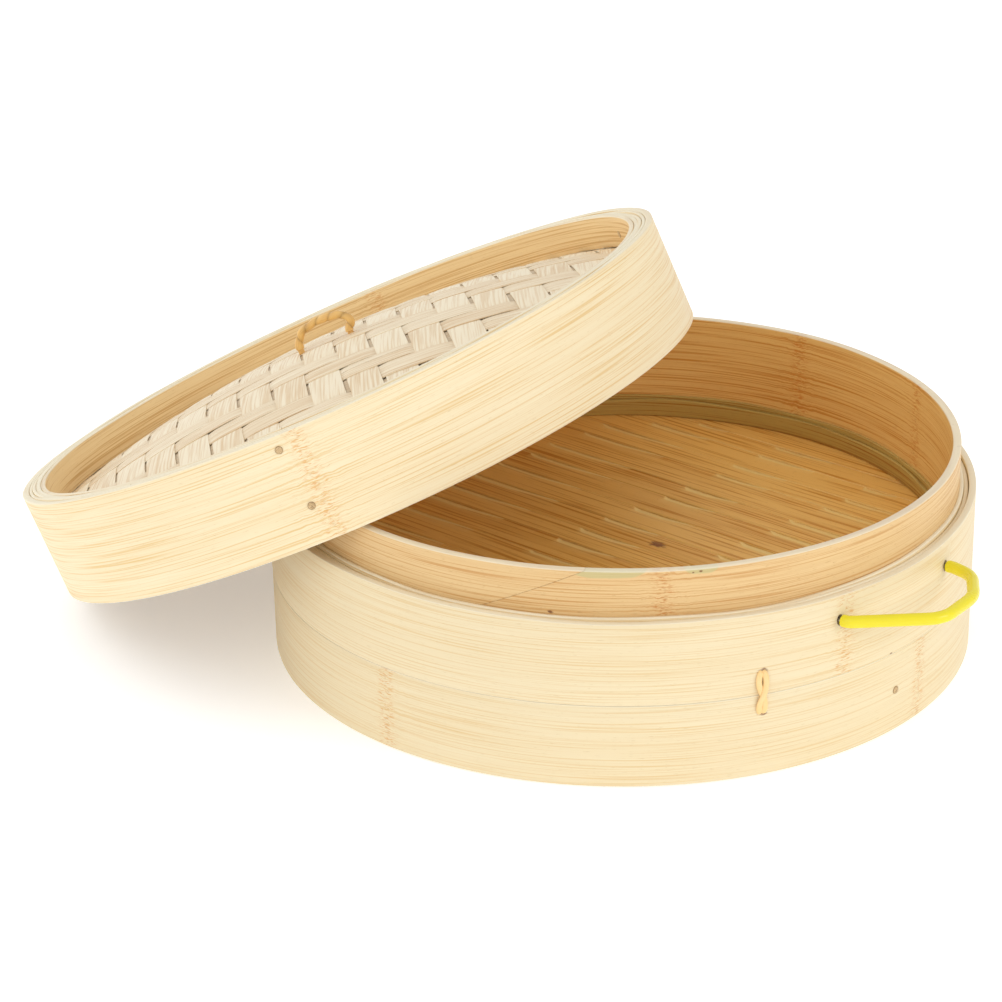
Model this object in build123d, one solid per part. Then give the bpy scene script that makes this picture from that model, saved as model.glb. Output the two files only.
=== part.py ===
from build123d import *
import os
from math import asin, cos, degrees, hypot, radians, sin, sqrt, tan

# Bamboo steamer basket with its lid leaning on the rim.
# Origin: centre of the basket's underside. +Z up. Millimetres and degrees.

# ---------------------------------------------------------------- basket wall
band_radius = 150.0  # outside of the two outer bands
band_thickness = 3.0
shoulder_height = 70.2  # top of the outer bands, where the next basket or the lid sits
collar_rise = 18.8  # how far the collar stands above the shoulder
band_seam_height = 35.0  # where the lower outer band meets the upper one
filler_thickness = 2.0  # each of the two strips between collar and outer band
collar_thickness = 3.5
stack_clearance = 0.6  # radial play of a collar in the socket or lid above it
socket_spare = 5.0  # how much deeper the socket is than a collar is tall
joint_gap = 0.3  # slit left where a bent strip's two ends meet
joint_slant = 30.0  # lean of those slits, from upright

# ---------------------------------------------------------------- basket floor
ledge_lift = 4.6  # from the end of the socket up to the ledge ring
slat_thickness = 3.6
slat_gap = 0.4
slat_angle = -42.0  # direction in which the slats run
slat_widths = (17.3, 13.0, 16.0, 13.5, 20.1, 14.5, 17.6, 16.8, 15.5)
slat_widths += (14.0, 17.0, 19.0, 16.0, 15.0, 17.5, 14.0, 21.8)  # scaled to fill the floor
notch_depth = 3.0
notch_end = 2.6  # length of each slanted end of a notch
middle_notch_length = 33.0
side_notch_start = 43.0  # from the slat's middle
side_notch_stop = 95.0
notch_end_wood = 20.0  # whole wood kept at each end of a slat
notch_least = 10.4  # a shorter notch is left out
bar_offset = 29.5  # from the floor's middle to each cross bar
bar_width = 9.0
bar_height = 5.0
bar_skew = 5.0  # how far the bars are from square to the slats
bar_clearance = 0.1  # round each bar where it passes through the ledge ring
floor_clearance = 0.3  # between the floor pieces and the collar
ledge_width = 5.0
ledge_height = 8.0
retainer_thickness = 1.4
retainer_heights = (9.5, 7.5)  # outer strip, inner strip, above the slats

# ---------------------------------------------------------------- small fixings
peg_radius = 1.65
peg_proud = 0.3  # how far a peg's head stands out
peg_end_gap = 0.2  # left beyond the hidden end of a peg
ledge_peg_depth = 4.5  # how far a ledge peg enters the ledge ring
wall_peg_angle, wall_peg_height = 314.6, 17.8
ledge_peg_count = 6
stitch_angle = 288.9
stitch_below, stitch_above = 7.0, 9.5  # reach of the stitch from the seam
stitch_width = 6.0
stitch_strand = 1.8
stitch_leg_radius = 1.1
stitch_leg_inset = 0.5  # from the ends of the stitch to the middle of each leg
stitch_overhang = 1.5  # how far the strands pass the legs
stitch_clearance = 0.15  # round the legs and the tie in the wall
stitch_tie_overhang = 1.0  # how far the hidden tie passes the legs
stitch_tie_gap = 0.1  # between the tie and the strips on either side of it
stitch_depth = 80.0  # of the boxes that the stitch is cut out with

# ---------------------------------------------------------------- wire side handles
handle_angles = (315.1, 135.1)
handle_names = ("right", "left")
handle_drop = 11.2  # from the shoulder down to the handles' turning axes
handle_span = 67.7
wire_radius = 1.0
sleeve_radius = 2.5
sleeve_bore_clearance = 0.05
pivot_depth = 1.6  # from the outer band's inner face to the wire's turning axis
tail_length = 8.0
handle_rest_angle = 5.0  # lift of the handle from level
handle_swing = 12.0  # each way from there
swing_clearance = 0.5
sleeve_start = 7.2  # from the turning axis along the leg
leg_straight = 9.0
handle_reach = 37.0  # from the turning axis to the outermost corner of the run

# ---------------------------------------------------------------- lid
lid_liner_height = 15.0  # the liners stand on the mat's edge, up to the lid's top
lid_ring_height = 9.8  # ring under the mat
lid_band_thickness = 3.0
lid_filler_clearance = 0.05  # between the lid's bent strips
lid_liner_thickness = 2.2
lid_ring_spare = 0.8  # gap between a seated lid's inner ring and the collar's rim
mat_rise = 18.2  # height of the mat's crown above its edge
mat_thickness = 1.2  # each of the two layers
lid_liner_pegs = ((262.8, 6.0), (16.8, 8.4))  # angle, depth below the lid's top
lid_wall_pegs = ((263.8, 15.5),)  # angle, height above the lid's lower edge

# ---------------------------------------------------------------- lid loop
loop_centre = (-4.0, 13.0)
loop_turn = -14.0  # direction of the line through the loop's feet
loop_foot = 12.5  # from the loop's middle to each foot
loop_core_radius = 1.4
loop_wrap_radius = 2.1
loop_wrap_clearance = 0.05
loop_swing = 20.0
loop_tail_drop = 4.0  # from the turning axis down to the tails
loop_tail_length = 6.0
loop_wrap_start = 2.4  # from the turning axis up to the wrap's ends
loop_hole_clearance = 0.4  # round each foot at the ends of its swing

# ---------------------------------------------------------------- lid pose
lid_lean = 24.7  # tilt of the lid
lid_lean_angle = 156.0  # direction in which its low side points
lid_offset = (-104.5, 46.1)  # plan position of the centre of the lid's lower edge
rest_gap = 0.4  # between the leaning lid and what it leans on

# ---------------------------------------------------------------- worked-out sizes
band_inner = band_radius - band_thickness
filler_middle = band_inner - filler_thickness
collar_outer = filler_middle - filler_thickness
collar_inner = collar_outer - collar_thickness
socket_radius = collar_outer + stack_clearance
rim_height = shoulder_height + collar_rise
socket_depth = collar_rise + socket_spare
floor_height = socket_depth + ledge_lift + ledge_height + slat_thickness
floor_radius = collar_inner - floor_clearance
slat_bottom = floor_height - slat_thickness
stitch_low = band_seam_height - stitch_below
stitch_high = band_seam_height + stitch_above
handle_height = shoulder_height - handle_drop

lid_radius = band_radius
lid_band_inner = lid_radius - lid_band_thickness
lid_filler_middle = (lid_band_inner + socket_radius) / 2
lid_liner_middle = socket_radius - lid_liner_thickness
lid_inner = lid_liner_middle - lid_liner_thickness
lid_ring_bottom = collar_rise + lid_ring_spare
mat_bottom = lid_ring_bottom + lid_ring_height
mat_edge_height = mat_bottom + 2 * mat_thickness
lid_height = mat_edge_height + lid_liner_height
mat_crown = mat_edge_height + mat_rise
dome_radius = (lid_inner**2 + mat_rise**2) / (2 * mat_rise)
cutter_spare = 1.0  # how far a cutter runs past the faces that it opens
peg_hole_spare = 5.0  # the same for a peg's hole outside the wall

WRITTEN = []


def save(part, name):
    """Write one named piece as parts/NAME.step."""
    part.label = name
    export_step(part, f"parts/{name}.step")
    WRITTEN.append(name)


def tube(outer, inner, bottom, top):
    """An upright ring between two radii and two heights."""
    height = top - bottom
    ring = Cylinder(outer, height) - Cylinder(inner, height + 2 * cutter_spare)
    return Pos(0, 0, (bottom + top) / 2) * ring


def slit(outer, bottom, top, angle):
    """The slanted gap between the two ends of a bent strip."""
    middle = (bottom + top) / 2
    blade = Box(60, joint_gap, 2 * (top - bottom))
    return Rot(0, 0, angle) * Pos(outer, 0, middle) * Rot(joint_slant, 0, 0) * blade


def hoop(outer, inner, bottom, top, joint_angle):
    """A strip bent into a ring, with the slit where its ends meet."""
    return tube(outer, inner, bottom, top) - slit(outer, bottom, top, joint_angle)


def radial_pin(radius, angle, height, start, stop):
    """A round pin that points away from the axis."""
    pin = Cylinder(radius, stop - start)
    return Rot(0, 0, angle) * Pos((start + stop) / 2, 0, height) * Rot(0, 90, 0) * pin


def slat_seams():
    """Positions of the lines between slats, scaled to fill the floor."""
    share = 2 * floor_radius / sum(slat_widths)
    seams = [floor_radius]
    for width in slat_widths:
        seams.append(seams[-1] - width * share)
    return seams


def notch(start, stop, edge):
    """Cutter for one steam notch in a slat's far edge."""
    outline = Polyline(
        (start, edge + cutter_spare),
        (start, edge),
        (start + notch_end, edge - notch_depth),
        (stop - notch_end, edge - notch_depth),
        (stop, edge),
        (stop, edge + cutter_spare),
        close=True,
    )
    face = Pos(0, 0, slat_bottom - cutter_spare) * make_face(outline)
    return extrude(face, slat_thickness + 2 * cutter_spare)


def slat(low, high):
    """One floor slat between two seams, cut round at its ends and notched on one edge."""
    near = low + slat_gap / 2
    far = high - slat_gap / 2
    board = Pos(0, (near + far) / 2, slat_bottom + slat_thickness / 2)
    board *= Box(2 * (floor_radius + cutter_spare), far - near, slat_thickness)
    board &= tube_core(floor_radius, slat_bottom, floor_height)
    drift = tan(radians(bar_skew)) * far
    reach = sqrt(floor_radius**2 - far**2) - notch_end_wood
    spans = [
        (drift - middle_notch_length / 2, drift + middle_notch_length / 2),
        (drift + side_notch_start, min(drift + side_notch_stop, reach)),
        (max(drift - side_notch_stop, -reach), drift - side_notch_start),
    ]
    for start, stop in spans:
        if start >= -reach and stop <= reach and stop - start > notch_least:
            board -= notch(start, stop, far)
    return Rot(0, 0, slat_angle) * board


def tube_core(radius, bottom, top):
    """A solid upright cylinder between two heights."""
    return Pos(0, 0, (bottom + top) / 2) * Cylinder(radius, top - bottom)


def cross_bar(offset, spare=0.0):
    """A bar under the slats, shaped to the floor's round edge."""
    middle = slat_bottom - bar_height / 2
    bar = Rot(0, 0, slat_angle - bar_skew) * Pos(offset, 0, middle)
    bar *= Box(bar_width + 2 * spare, 2 * (floor_radius + cutter_spare), bar_height + 2 * spare)
    low = slat_bottom - bar_height - cutter_spare
    return bar & tube_core(floor_radius + 2 * spare, low, slat_bottom + cutter_spare)


def cut_all(part, cutters):
    """Take every cutter out of a part."""
    for cutter in cutters:
        part -= cutter
    return part


def largest(part):
    """The biggest solid of a cut part, as a part."""
    return Part() + max(part.solids(), key=lambda solid: solid.volume)


# ---------------------------------------------------------------- side handle geometry
half_span = handle_span / 2
band_face_at_leg = sqrt(band_inner**2 - half_span**2)
pivot_distance = band_face_at_leg - pivot_depth
outer_face_at_leg = sqrt(band_radius**2 - half_span**2)


def handle_frame(angle, lift=handle_rest_angle):
    """Plane of a handle: X along its turning axis, Y outwards along its legs."""
    turn = Rot(0, 0, angle - 90) * Pos(0, pivot_distance, handle_height)
    return turn * Rot(lift, 0, 0)


def bail_path(start):
    """Centreline of a handle's legs and outer run, from one leg to the other."""
    return FilletPolyline(
        (-half_span, start),
        (-half_span, leg_straight),
        (-half_span * 0.91, handle_reach * 0.55),
        (-half_span * 0.4, handle_reach * 0.91),
        (half_span * 0.31, handle_reach),
        (half_span, leg_straight),
        (half_span, start),
        radius=(10, 18, 22, 11, 4),
    )


def handle_wire():
    """The steel wire: legs, outer run and the two tails behind the band."""
    legs = bail_path(2 * wire_radius)
    bend = 2 * wire_radius
    tail_end = half_span - tail_length
    path = Wire(
        [
            Line((-tail_end, 0), (-half_span + bend, 0)),
            RadiusArc((-half_span + bend, 0), (-half_span, bend), bend),
            *legs.edges(),
            RadiusArc((half_span, bend), (half_span - bend, 0), bend),
            Line((half_span - bend, 0), (tail_end, 0)),
        ]
    )
    section = Plane(path @ 0, z_dir=path % 0) * Circle(wire_radius)
    return sweep(section, path=path)


def handle_sleeve():
    """The plastic sleeve over the wire, outside the wall."""
    path = bail_path(sleeve_start)
    ring = Circle(sleeve_radius) - Circle(wire_radius + sleeve_bore_clearance)
    return sweep(Plane(path @ 0, z_dir=path % 0) * ring, path=path)


def handle_slots(angle):
    """Openings in the outer band for a handle's two legs at every lift."""
    lever = outer_face_at_leg - pivot_distance
    rise = lever * sin(radians(handle_rest_angle + handle_swing))
    drop = lever * sin(radians(handle_swing - handle_rest_angle))
    low = -drop - wire_radius - swing_clearance
    high = rise + wire_radius + swing_clearance
    slots = []
    for side in (-half_span, half_span):
        slot = Pos(side, band_thickness, (low + high) / 2)
        slot *= Box(2 * (wire_radius + swing_clearance), 6 * band_thickness, high - low)
        slots.append(handle_frame(angle, 0) * slot)
    return slots


def handle_pockets(angle):
    """Room behind the outer band for a handle's legs and tails."""
    reach = tail_length + wire_radius + 2 * swing_clearance
    depth = band_thickness + pivot_depth + wire_radius
    height = 2 * (wire_radius + 2 * swing_clearance)
    pockets = []
    for side in (-1, 1):
        middle = side * (half_span - reach / 2 + wire_radius + swing_clearance)
        pocket = Pos(middle, depth / 2 - wire_radius - swing_clearance, 0) * Box(reach, depth, height)
        pockets.append(handle_frame(angle, 0) * pocket)
    return pockets


def stitch_leg_heights():
    """Heights of the stitch's two legs."""
    return stitch_low + stitch_leg_inset, stitch_high - stitch_leg_inset


def stitch():
    """The rattan stitch: strands outside, two legs through the wall, a tie inside."""
    span = stitch_high - stitch_low
    middle = (stitch_low + stitch_high) / 2
    low, high = stitch_low - stitch_overhang, stitch_high + stitch_overhang
    outside = tube(band_radius + stitch_strand, band_radius, low, high)
    low, high = stitch_low - stitch_tie_overhang, stitch_high + stitch_tie_overhang
    inside = tube(filler_middle - stitch_tie_gap, collar_outer + stitch_tie_gap, low, high)
    reach = Rot(0, 0, stitch_angle) * Pos(band_radius, 0, middle)
    outside = outside & (reach * Box(stitch_depth, stitch_width, span + 2 * stitch_overhang))
    inside = inside & (reach * Box(stitch_depth, 2.2 * stitch_leg_radius, span + 2 * stitch_tie_overhang))
    leg_start = collar_outer + 3 * stitch_tie_gap
    legs = [
        radial_pin(stitch_leg_radius, stitch_angle, height, leg_start, band_radius + stitch_leg_inset)
        for height in stitch_leg_heights()
    ]
    return outside + inside + legs[0] + legs[1]


def stitch_room():
    """Cutters that let the stitch through the bands and fillers."""
    radius = stitch_leg_radius + stitch_clearance
    start, stop = collar_outer - stitch_tie_gap / 2, band_radius + peg_hole_spare
    cutters = [radial_pin(radius, stitch_angle, height, start, stop) for height in stitch_leg_heights()]
    middle = (stitch_low + stitch_high) / 2
    width = 2.2 * stitch_leg_radius + 2 * stitch_clearance
    height = stitch_high - stitch_low + 2 * stitch_tie_overhang + 0.5
    tie = Box(2 * filler_thickness, width, height)
    return cutters, Rot(0, 0, stitch_angle) * Pos(collar_outer, 0, middle) * tie


# ---------------------------------------------------------------- lid geometry
def lean_directions():
    """The lid's own axes in the basket's frame while it leans."""
    lean, heading = radians(lid_lean), radians(lid_lean_angle)
    up = Vector(sin(lean) * cos(heading), sin(lean) * sin(heading), cos(lean))
    across = (Vector(1, 0, 0) - up * up.X).normalized()
    return across, up


def lean_height():
    """Height of the lid's lower centre at which its wall just rests on the basket."""
    across, up = lean_directions()
    along = up.cross(across)
    lowest = lid_radius * sin(radians(lid_lean)) + rest_gap
    for step in range(1440):
        turn = radians(step / 4)
        for radius in (socket_radius, lid_band_inner, lid_radius):
            for height in (0, lid_height / 4, lid_height / 2):
                point = across * (radius * cos(turn)) + along * (radius * sin(turn)) + up * height
                plan = hypot(point.X + lid_offset[0], point.Y + lid_offset[1])
                if collar_inner <= plan <= collar_outer:
                    lowest = max(lowest, rim_height + rest_gap - point.Z)
                elif collar_outer < plan <= band_radius:
                    lowest = max(lowest, shoulder_height + rest_gap - point.Z)
    return lowest


def lid_frame():
    """Where the lid's own frame stands while it leans."""
    across, up = lean_directions()
    origin = (lid_offset[0], lid_offset[1], lean_height())
    return Plane(origin=origin, x_dir=across, z_dir=up).location


def dome_section(top):
    """Half section of one mat layer whose flange's upper face is at a height."""
    crown = top + mat_rise
    under = top - mat_thickness
    slope = asin(lid_inner / dome_radius) / 2
    mid = (dome_radius * sin(slope), crown - dome_radius * (1 - cos(slope)))
    upper = ThreePointArc((0, crown), mid, (lid_inner, top))
    flange = Polyline((lid_inner, top), (socket_radius, top), (socket_radius, under))
    back = Line((socket_radius, under), (lid_inner, under))
    lower = ThreePointArc((lid_inner, under), (mid[0], mid[1] - mat_thickness), (0, crown - mat_thickness))
    axis = Line((0, crown - mat_thickness), (0, crown))
    outline = Wire([*upper.edges(), *flange.edges(), *back.edges(), *lower.edges(), *axis.edges()])
    return Plane.XZ * make_face(outline)


def loop_height():
    """Height of the mat's upper face under the loop."""
    reach = hypot(*loop_centre)
    return mat_crown - (dome_radius - sqrt(dome_radius**2 - reach**2))


def loop_frame():
    """Turning axis of the loop: X through its feet, Z away from the mat."""
    place = Pos(loop_centre[0], loop_centre[1], loop_height() - mat_thickness)
    return place * Rot(0, 0, loop_turn)


def loop_arch(start):
    """Centreline of the loop above the mat, from one foot to the other."""
    return FilletPolyline(
        (-loop_foot, 0, start),
        (-loop_foot, 0, 4.2),
        (-loop_foot * 0.72, 0, 9.7),
        (0, 0, 11.7),
        (loop_foot * 0.76, 0, 11.2),
        (loop_foot * 1.36, 0, 7.4),
        (loop_foot, 0, 3.6),
        (loop_foot, 0, start),
        radius=(5, 6, 12, 8, 2.9, 2.4),
    )


def loop_core():
    """The rattan core: arch, feet through the mat and two turned-in tails."""
    bend = 1.5 * loop_core_radius
    low = -loop_tail_drop
    tail = loop_foot - loop_tail_length
    arch = loop_arch(low + bend)
    path = Wire(
        [
            Line((-tail, 0, low), (-loop_foot + bend, 0, low)),
            ThreePointArc(
                (-loop_foot + bend, 0, low),
                (-loop_foot + bend * (1 - sqrt(0.5)), 0, low + bend * (1 - sqrt(0.5))),
                (-loop_foot, 0, low + bend),
            ),
            *arch.edges(),
            ThreePointArc(
                (loop_foot, 0, low + bend),
                (loop_foot - bend * (1 - sqrt(0.5)), 0, low + bend * (1 - sqrt(0.5))),
                (loop_foot - bend, 0, low),
            ),
            Line((loop_foot - bend, 0, low), (tail, 0, low)),
        ]
    )
    return sweep(Plane(path @ 0, z_dir=path % 0) * Circle(loop_core_radius), path=path)


def loop_wrap():
    """The rattan skin wound over the arch."""
    path = loop_arch(loop_wrap_start)
    ring = Circle(loop_wrap_radius) - Circle(loop_core_radius + loop_wrap_clearance)
    return sweep(Plane(path @ 0, z_dir=path % 0) * ring, path=path)


def loop_holes():
    """Holes in the mat layers for the loop's feet at every swing."""
    reach = mat_thickness * 1.2
    swing = radians(loop_swing)
    radius = loop_core_radius / cos(swing) + reach * tan(swing) + loop_hole_clearance
    return [
        loop_frame() * Pos(side, 0, 0) * Cylinder(radius, 6 * mat_thickness)
        for side in (-loop_foot, loop_foot)
    ]


# ---------------------------------------------------------------- build the basket
os.makedirs("parts", exist_ok=True)

slots = [slot for angle in handle_angles for slot in handle_slots(angle)]
pockets = [pocket for angle in handle_angles for pocket in handle_pockets(angle)]
stitch_holes, stitch_tie_room = stitch_room()

upper_band = hoop(band_radius, band_inner, band_seam_height + joint_gap, shoulder_height, 70)
save(cut_all(upper_band, slots + stitch_holes), "upper_outer_band")

peg_start, peg_stop = socket_radius - cutter_spare, band_radius + peg_hole_spare
wall_peg_hole = radial_pin(peg_radius, wall_peg_angle, wall_peg_height, peg_start, peg_stop)
lower_band = hoop(band_radius, band_inner, 0, band_seam_height, 100)
save(cut_all(lower_band, stitch_holes + [wall_peg_hole]), "lower_outer_band")

foot_strip = hoop(band_inner, socket_radius, 0, socket_depth, 20)
save(foot_strip - wall_peg_hole, "foot_strip")

ledge_pegs = []
for index in range(ledge_peg_count):
    ledge_pegs.append((slat_angle + index * 360 / ledge_peg_count, slat_bottom - ledge_height / 2))
ledge_holes = [
    radial_pin(peg_radius, angle, level, collar_inner - ledge_width - cutter_spare, filler_middle)
    for angle, level in ledge_pegs
]

outer_filler = hoop(band_inner, filler_middle, socket_depth, shoulder_height, 200)
save(cut_all(outer_filler, pockets + stitch_holes), "outer_filler_strip")
inner_filler = hoop(filler_middle, collar_outer, socket_depth, shoulder_height, 160)
inner_filler = cut_all(inner_filler, pockets + stitch_holes + ledge_holes)
save(inner_filler - stitch_tie_room, "inner_filler_strip")

collar = hoop(collar_outer, collar_inner, socket_depth, rim_height, 253)
save(cut_all(collar, pockets + ledge_holes), "collar_band")

ledge = hoop(collar_inner, collar_inner - ledge_width, slat_bottom - ledge_height, slat_bottom, 40)
bar_rooms = [cross_bar(side * bar_offset, bar_clearance) for side in (-1, 1)]
save(cut_all(ledge, ledge_holes + bar_rooms), "floor_ledge_ring")

for index, side in enumerate((-1, 1), start=1):
    save(cross_bar(side * bar_offset), f"floor_cross_bar_{index}")

seams = slat_seams()
for index, (high, low) in enumerate(zip(seams, seams[1:]), start=1):
    save(largest(slat(low, high)), f"floor_slat_{index:02d}")

retainer_outer = collar_inner
for name, height, joint in zip(("outer", "inner"), retainer_heights, (350, 190)):
    inner = retainer_outer - retainer_thickness
    save(hoop(retainer_outer, inner, floor_height, floor_height + height, joint), f"{name}_retaining_strip")
    retainer_outer = inner

peg_start, peg_stop = socket_radius, band_radius + peg_proud
save(radial_pin(peg_radius, wall_peg_angle, wall_peg_height, peg_start, peg_stop), "wall_peg")
peg_inner = collar_inner - ledge_peg_depth
save(
    Compound(
        children=[
            radial_pin(peg_radius, angle, level, peg_inner, filler_middle - peg_end_gap)
            for angle, level in ledge_pegs
        ]
    ),
    "ledge_pegs",
)
save(stitch(), "rattan_stitch")

wire = handle_wire()
sleeve = handle_sleeve()
for name, angle in zip(handle_names, handle_angles):
    save(handle_frame(angle) * wire, f"{name}_handle_wire")
    save(handle_frame(angle) * sleeve, f"{name}_handle_sleeve")

# ---------------------------------------------------------------- build the lid
place = lid_frame()
gap = lid_filler_clearance


# Angle, height and inner end of each lid peg: those near the top go through the liners too.
lid_pegs = [(angle, lid_height - depth, lid_inner) for angle, depth in lid_liner_pegs]
lid_pegs += [(angle, height, socket_radius) for angle, height in lid_wall_pegs]
peg_holes = [
    radial_pin(peg_radius, angle, height, start - cutter_spare, lid_radius + peg_hole_spare)
    for angle, height, start in lid_pegs
]

lid_band = hoop(lid_radius, lid_band_inner, 0, lid_height, 90)
save(place * cut_all(lid_band, peg_holes), "lid_outer_band")
lid_filler = hoop(lid_band_inner - gap, lid_filler_middle, 0, lid_height, 230)
save(place * cut_all(lid_filler, peg_holes), "lid_outer_filler")
lid_filler = hoop(lid_filler_middle - gap, socket_radius, 0, lid_height, 130)
save(place * cut_all(lid_filler, peg_holes), "lid_inner_filler")
lid_liner = hoop(socket_radius - gap, lid_liner_middle, mat_edge_height, lid_height, 300)
save(place * cut_all(lid_liner, peg_holes), "lid_outer_liner")
lid_liner = hoop(lid_liner_middle - gap, lid_inner, mat_edge_height, lid_height, 60)
save(place * cut_all(lid_liner, peg_holes), "lid_inner_liner")
lid_ring = hoop(socket_radius - gap, lid_inner, lid_ring_bottom, mat_bottom, 10)
save(place * lid_ring, "lid_lower_ring")

mat = revolve(dome_section(mat_edge_height), Axis.Z)
lining = revolve(dome_section(mat_edge_height - mat_thickness), Axis.Z)
save(place * cut_all(mat, loop_holes()), "woven_mat")
save(place * cut_all(lining, loop_holes()), "lining_mat")

save(
    Compound(
        children=[
            place * radial_pin(peg_radius, angle, height, start, lid_radius + peg_proud)
            for angle, height, start in lid_pegs
        ]
    ),
    "lid_pegs",
)
save(place * loop_frame() * loop_core(), "loop_core")
save(place * loop_frame() * loop_wrap(), "loop_wrap")

# ---------------------------------------------------------------- figures for the record
axis_place = place * loop_frame()
axis_plane = Plane(axis_place)
print("pieces", len(WRITTEN))
print("lid centre", place.position, "lid axis", Plane(place).z_dir)
print("loop axis point", axis_plane.origin, "direction", axis_plane.x_dir)
for name, angle in zip(handle_names, handle_angles):
    plane = Plane(handle_frame(angle))
    print(name, "handle axis point", plane.origin, "direction", plane.x_dir)
print("socket", socket_radius, socket_depth)
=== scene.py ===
"""Bamboo steamer basket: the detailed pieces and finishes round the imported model."""

import math
import random
from collections import namedtuple
from contextlib import contextmanager

import bpy
import numpy as np
from bpy.props import FloatProperty, FloatVectorProperty, IntProperty, PointerProperty
from mathutils import Matrix, Vector


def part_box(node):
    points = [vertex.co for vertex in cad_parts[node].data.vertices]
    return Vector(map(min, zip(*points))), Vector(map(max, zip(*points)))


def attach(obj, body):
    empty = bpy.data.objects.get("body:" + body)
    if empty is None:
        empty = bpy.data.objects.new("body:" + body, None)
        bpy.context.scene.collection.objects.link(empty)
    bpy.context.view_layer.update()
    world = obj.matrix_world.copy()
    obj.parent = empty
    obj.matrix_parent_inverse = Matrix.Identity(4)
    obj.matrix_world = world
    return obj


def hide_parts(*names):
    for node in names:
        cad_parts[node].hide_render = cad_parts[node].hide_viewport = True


bl_info = {
    "name": "Bamboo steamer basket",
    "version": (1, 0, 0),
    "blender": (4, 5, 0),
    "location": "3D View > Sidebar > Steamer",
    "description": "Builds a bamboo steamer basket with its woven lid, piece by piece",
    "category": "Object",
}

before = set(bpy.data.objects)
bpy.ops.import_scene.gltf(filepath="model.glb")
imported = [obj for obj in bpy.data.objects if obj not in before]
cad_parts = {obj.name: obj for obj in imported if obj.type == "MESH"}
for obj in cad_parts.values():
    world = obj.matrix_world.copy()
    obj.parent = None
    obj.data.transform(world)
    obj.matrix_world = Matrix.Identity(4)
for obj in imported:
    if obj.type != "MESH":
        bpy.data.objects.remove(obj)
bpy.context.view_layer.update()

MM = 0.001
TURN = 2 * math.pi

# ---------------------------------------------------------------- fixed numbers
# Headings are in degrees round the Z axis, counted from X.
JOINT_SLIT = 0.3 * MM  # between the two ends of a bent strip
BAND_SLIT = 0.08 * MM  # between the two outer bands
STRIP_GAP = 0.12 * MM  # between a strip and the one outside it
TOUCH = 0.02 * MM  # keeps two faces that touch from lying in one plane
STRIP_SLANT = math.radians(30.0)
COLLAR_SLANT = math.radians(65.3)
MOST_ROW_TWIST = 0.035  # in radians, so that a slanted hoop stays round between its rows
SKIN_BOW = 3.2 * MM  # how far the ends of a skin patch curve up

HANDLES = {"right": 315.1, "left": 135.1}  # headings
HANDLE_PIVOT_DEPTH = 1.6 * MM
HANDLE_LIFT = 5.0  # degrees above level at rest
HANDLE_SWING = 12.0  # degrees to each side of rest
HANDLE_LEVER = 4.7 * MM  # from the turning axis to the wall's outer face
HANDLE_REACH = 37 * MM
HANDLE_BENDS = (10, 18, 22, 11, 4)  # radii in mm
WIRE_TAIL = 8 * MM
WIRE_BEND = 2 * MM
SLEEVE_START = 6.2 * MM
POCKET = (10 * MM, 5.6 * MM, 4 * MM)  # room for a leg's tail: width, depth, height
LEG_ROOM = 1.5 * MM

STITCH_HEADING = 288.9
STITCH_LOW, STITCH_HIGH = 27.4 * MM, 45.0 * MM
STITCH_STEPS = 40
STITCH_SWING = 2.15  # mm to each side
PEG_PROUD = 0.3 * MM  # how far a peg's head stands out

SLAT_HEADING = math.radians(-42.0)
SLAT_WIDTHS = (17.3, 13.0, 16.0, 13.5, 20.1, 14.5, 17.6, 16.8, 15.5)
SLAT_WIDTHS += (14.0, 17.0, 19.0, 16.0, 15.0, 17.5, 14.0, 21.8)
SLAT_COLUMNS = 7  # faces across a slat's top
ARRIS_COLUMN = 4  # the vertices along the far arris, where a scoop starts
ARRIS = 0.45 * MM
SLAT_GAP = 0.12 * MM  # half the gap between two slats
KNOTTY_SLAT = 9
GRAIN_START = 0.3  # keeps places along a slat's grain above zero
MIDDLE_SCOOP = 16.5 * MM  # half its length
SIDE_SCOOP = (43 * MM, 95 * MM)  # start and stop
WHOLE_END = 17 * MM  # a slat's end that no scoop reaches
SHORT_SCOOP = 10 * MM  # a shorter one is left out
BAR_SKEW = math.radians(5.0)
BAR_WIDTH, BAR_HEIGHT, BAR_OFFSET = 9 * MM, 5 * MM, 29.5 * MM
FLOOR_PLAY = 0.3 * MM
LEDGE_WIDTH, LEDGE_HEIGHT = 5 * MM, 8 * MM

MAT_LAYER = 1.2 * MM
SLIVER_GAP = 0.16 * MM  # half the gap between two slivers of a strip
WARP_START = 9.0 * MM  # where the warp strip numbered 0 crosses the first weft edge
WARP_LEAN = -0.09
WEFT_START = -13.5 * MM
LOOP_CENTRE = (-4.0 * MM, 13.0 * MM)
LOOP_TURN = math.radians(-14.0)
LOOP_FOOT = 12.5 * MM
LOOP_LAY = 6.2 * MM  # from one turn of the skin to the next

GROUND_SIZE = 40.0
WORLD_STRENGTH = 0.77
SOFTBOXES = (  # name, place, width in metres, watts
    ("left", (-1.1, -1.1, 1.1), 1.2, 3.0),
    ("front", (0.1, -1.8, 0.9), 1.3, 1.5),
    ("right", (1.2, -0.95, 0.72), 0.8, 5.0),
    ("back", (-1.5, 0.6, 1.05), 1.2, 6.0),
)
SOFTBOX_AIM = Vector((-0.03, 0.0, 0.06))
CAMERA_SPOT = (-51.19 * MM, -1151.77 * MM, 561.79 * MM)
CAMERA_TILT, CAMERA_ROLL = math.radians(23.68), math.radians(-1.06)
CAMERA_LENS, CAMERA_SENSOR = 105.47, 36.0

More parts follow.
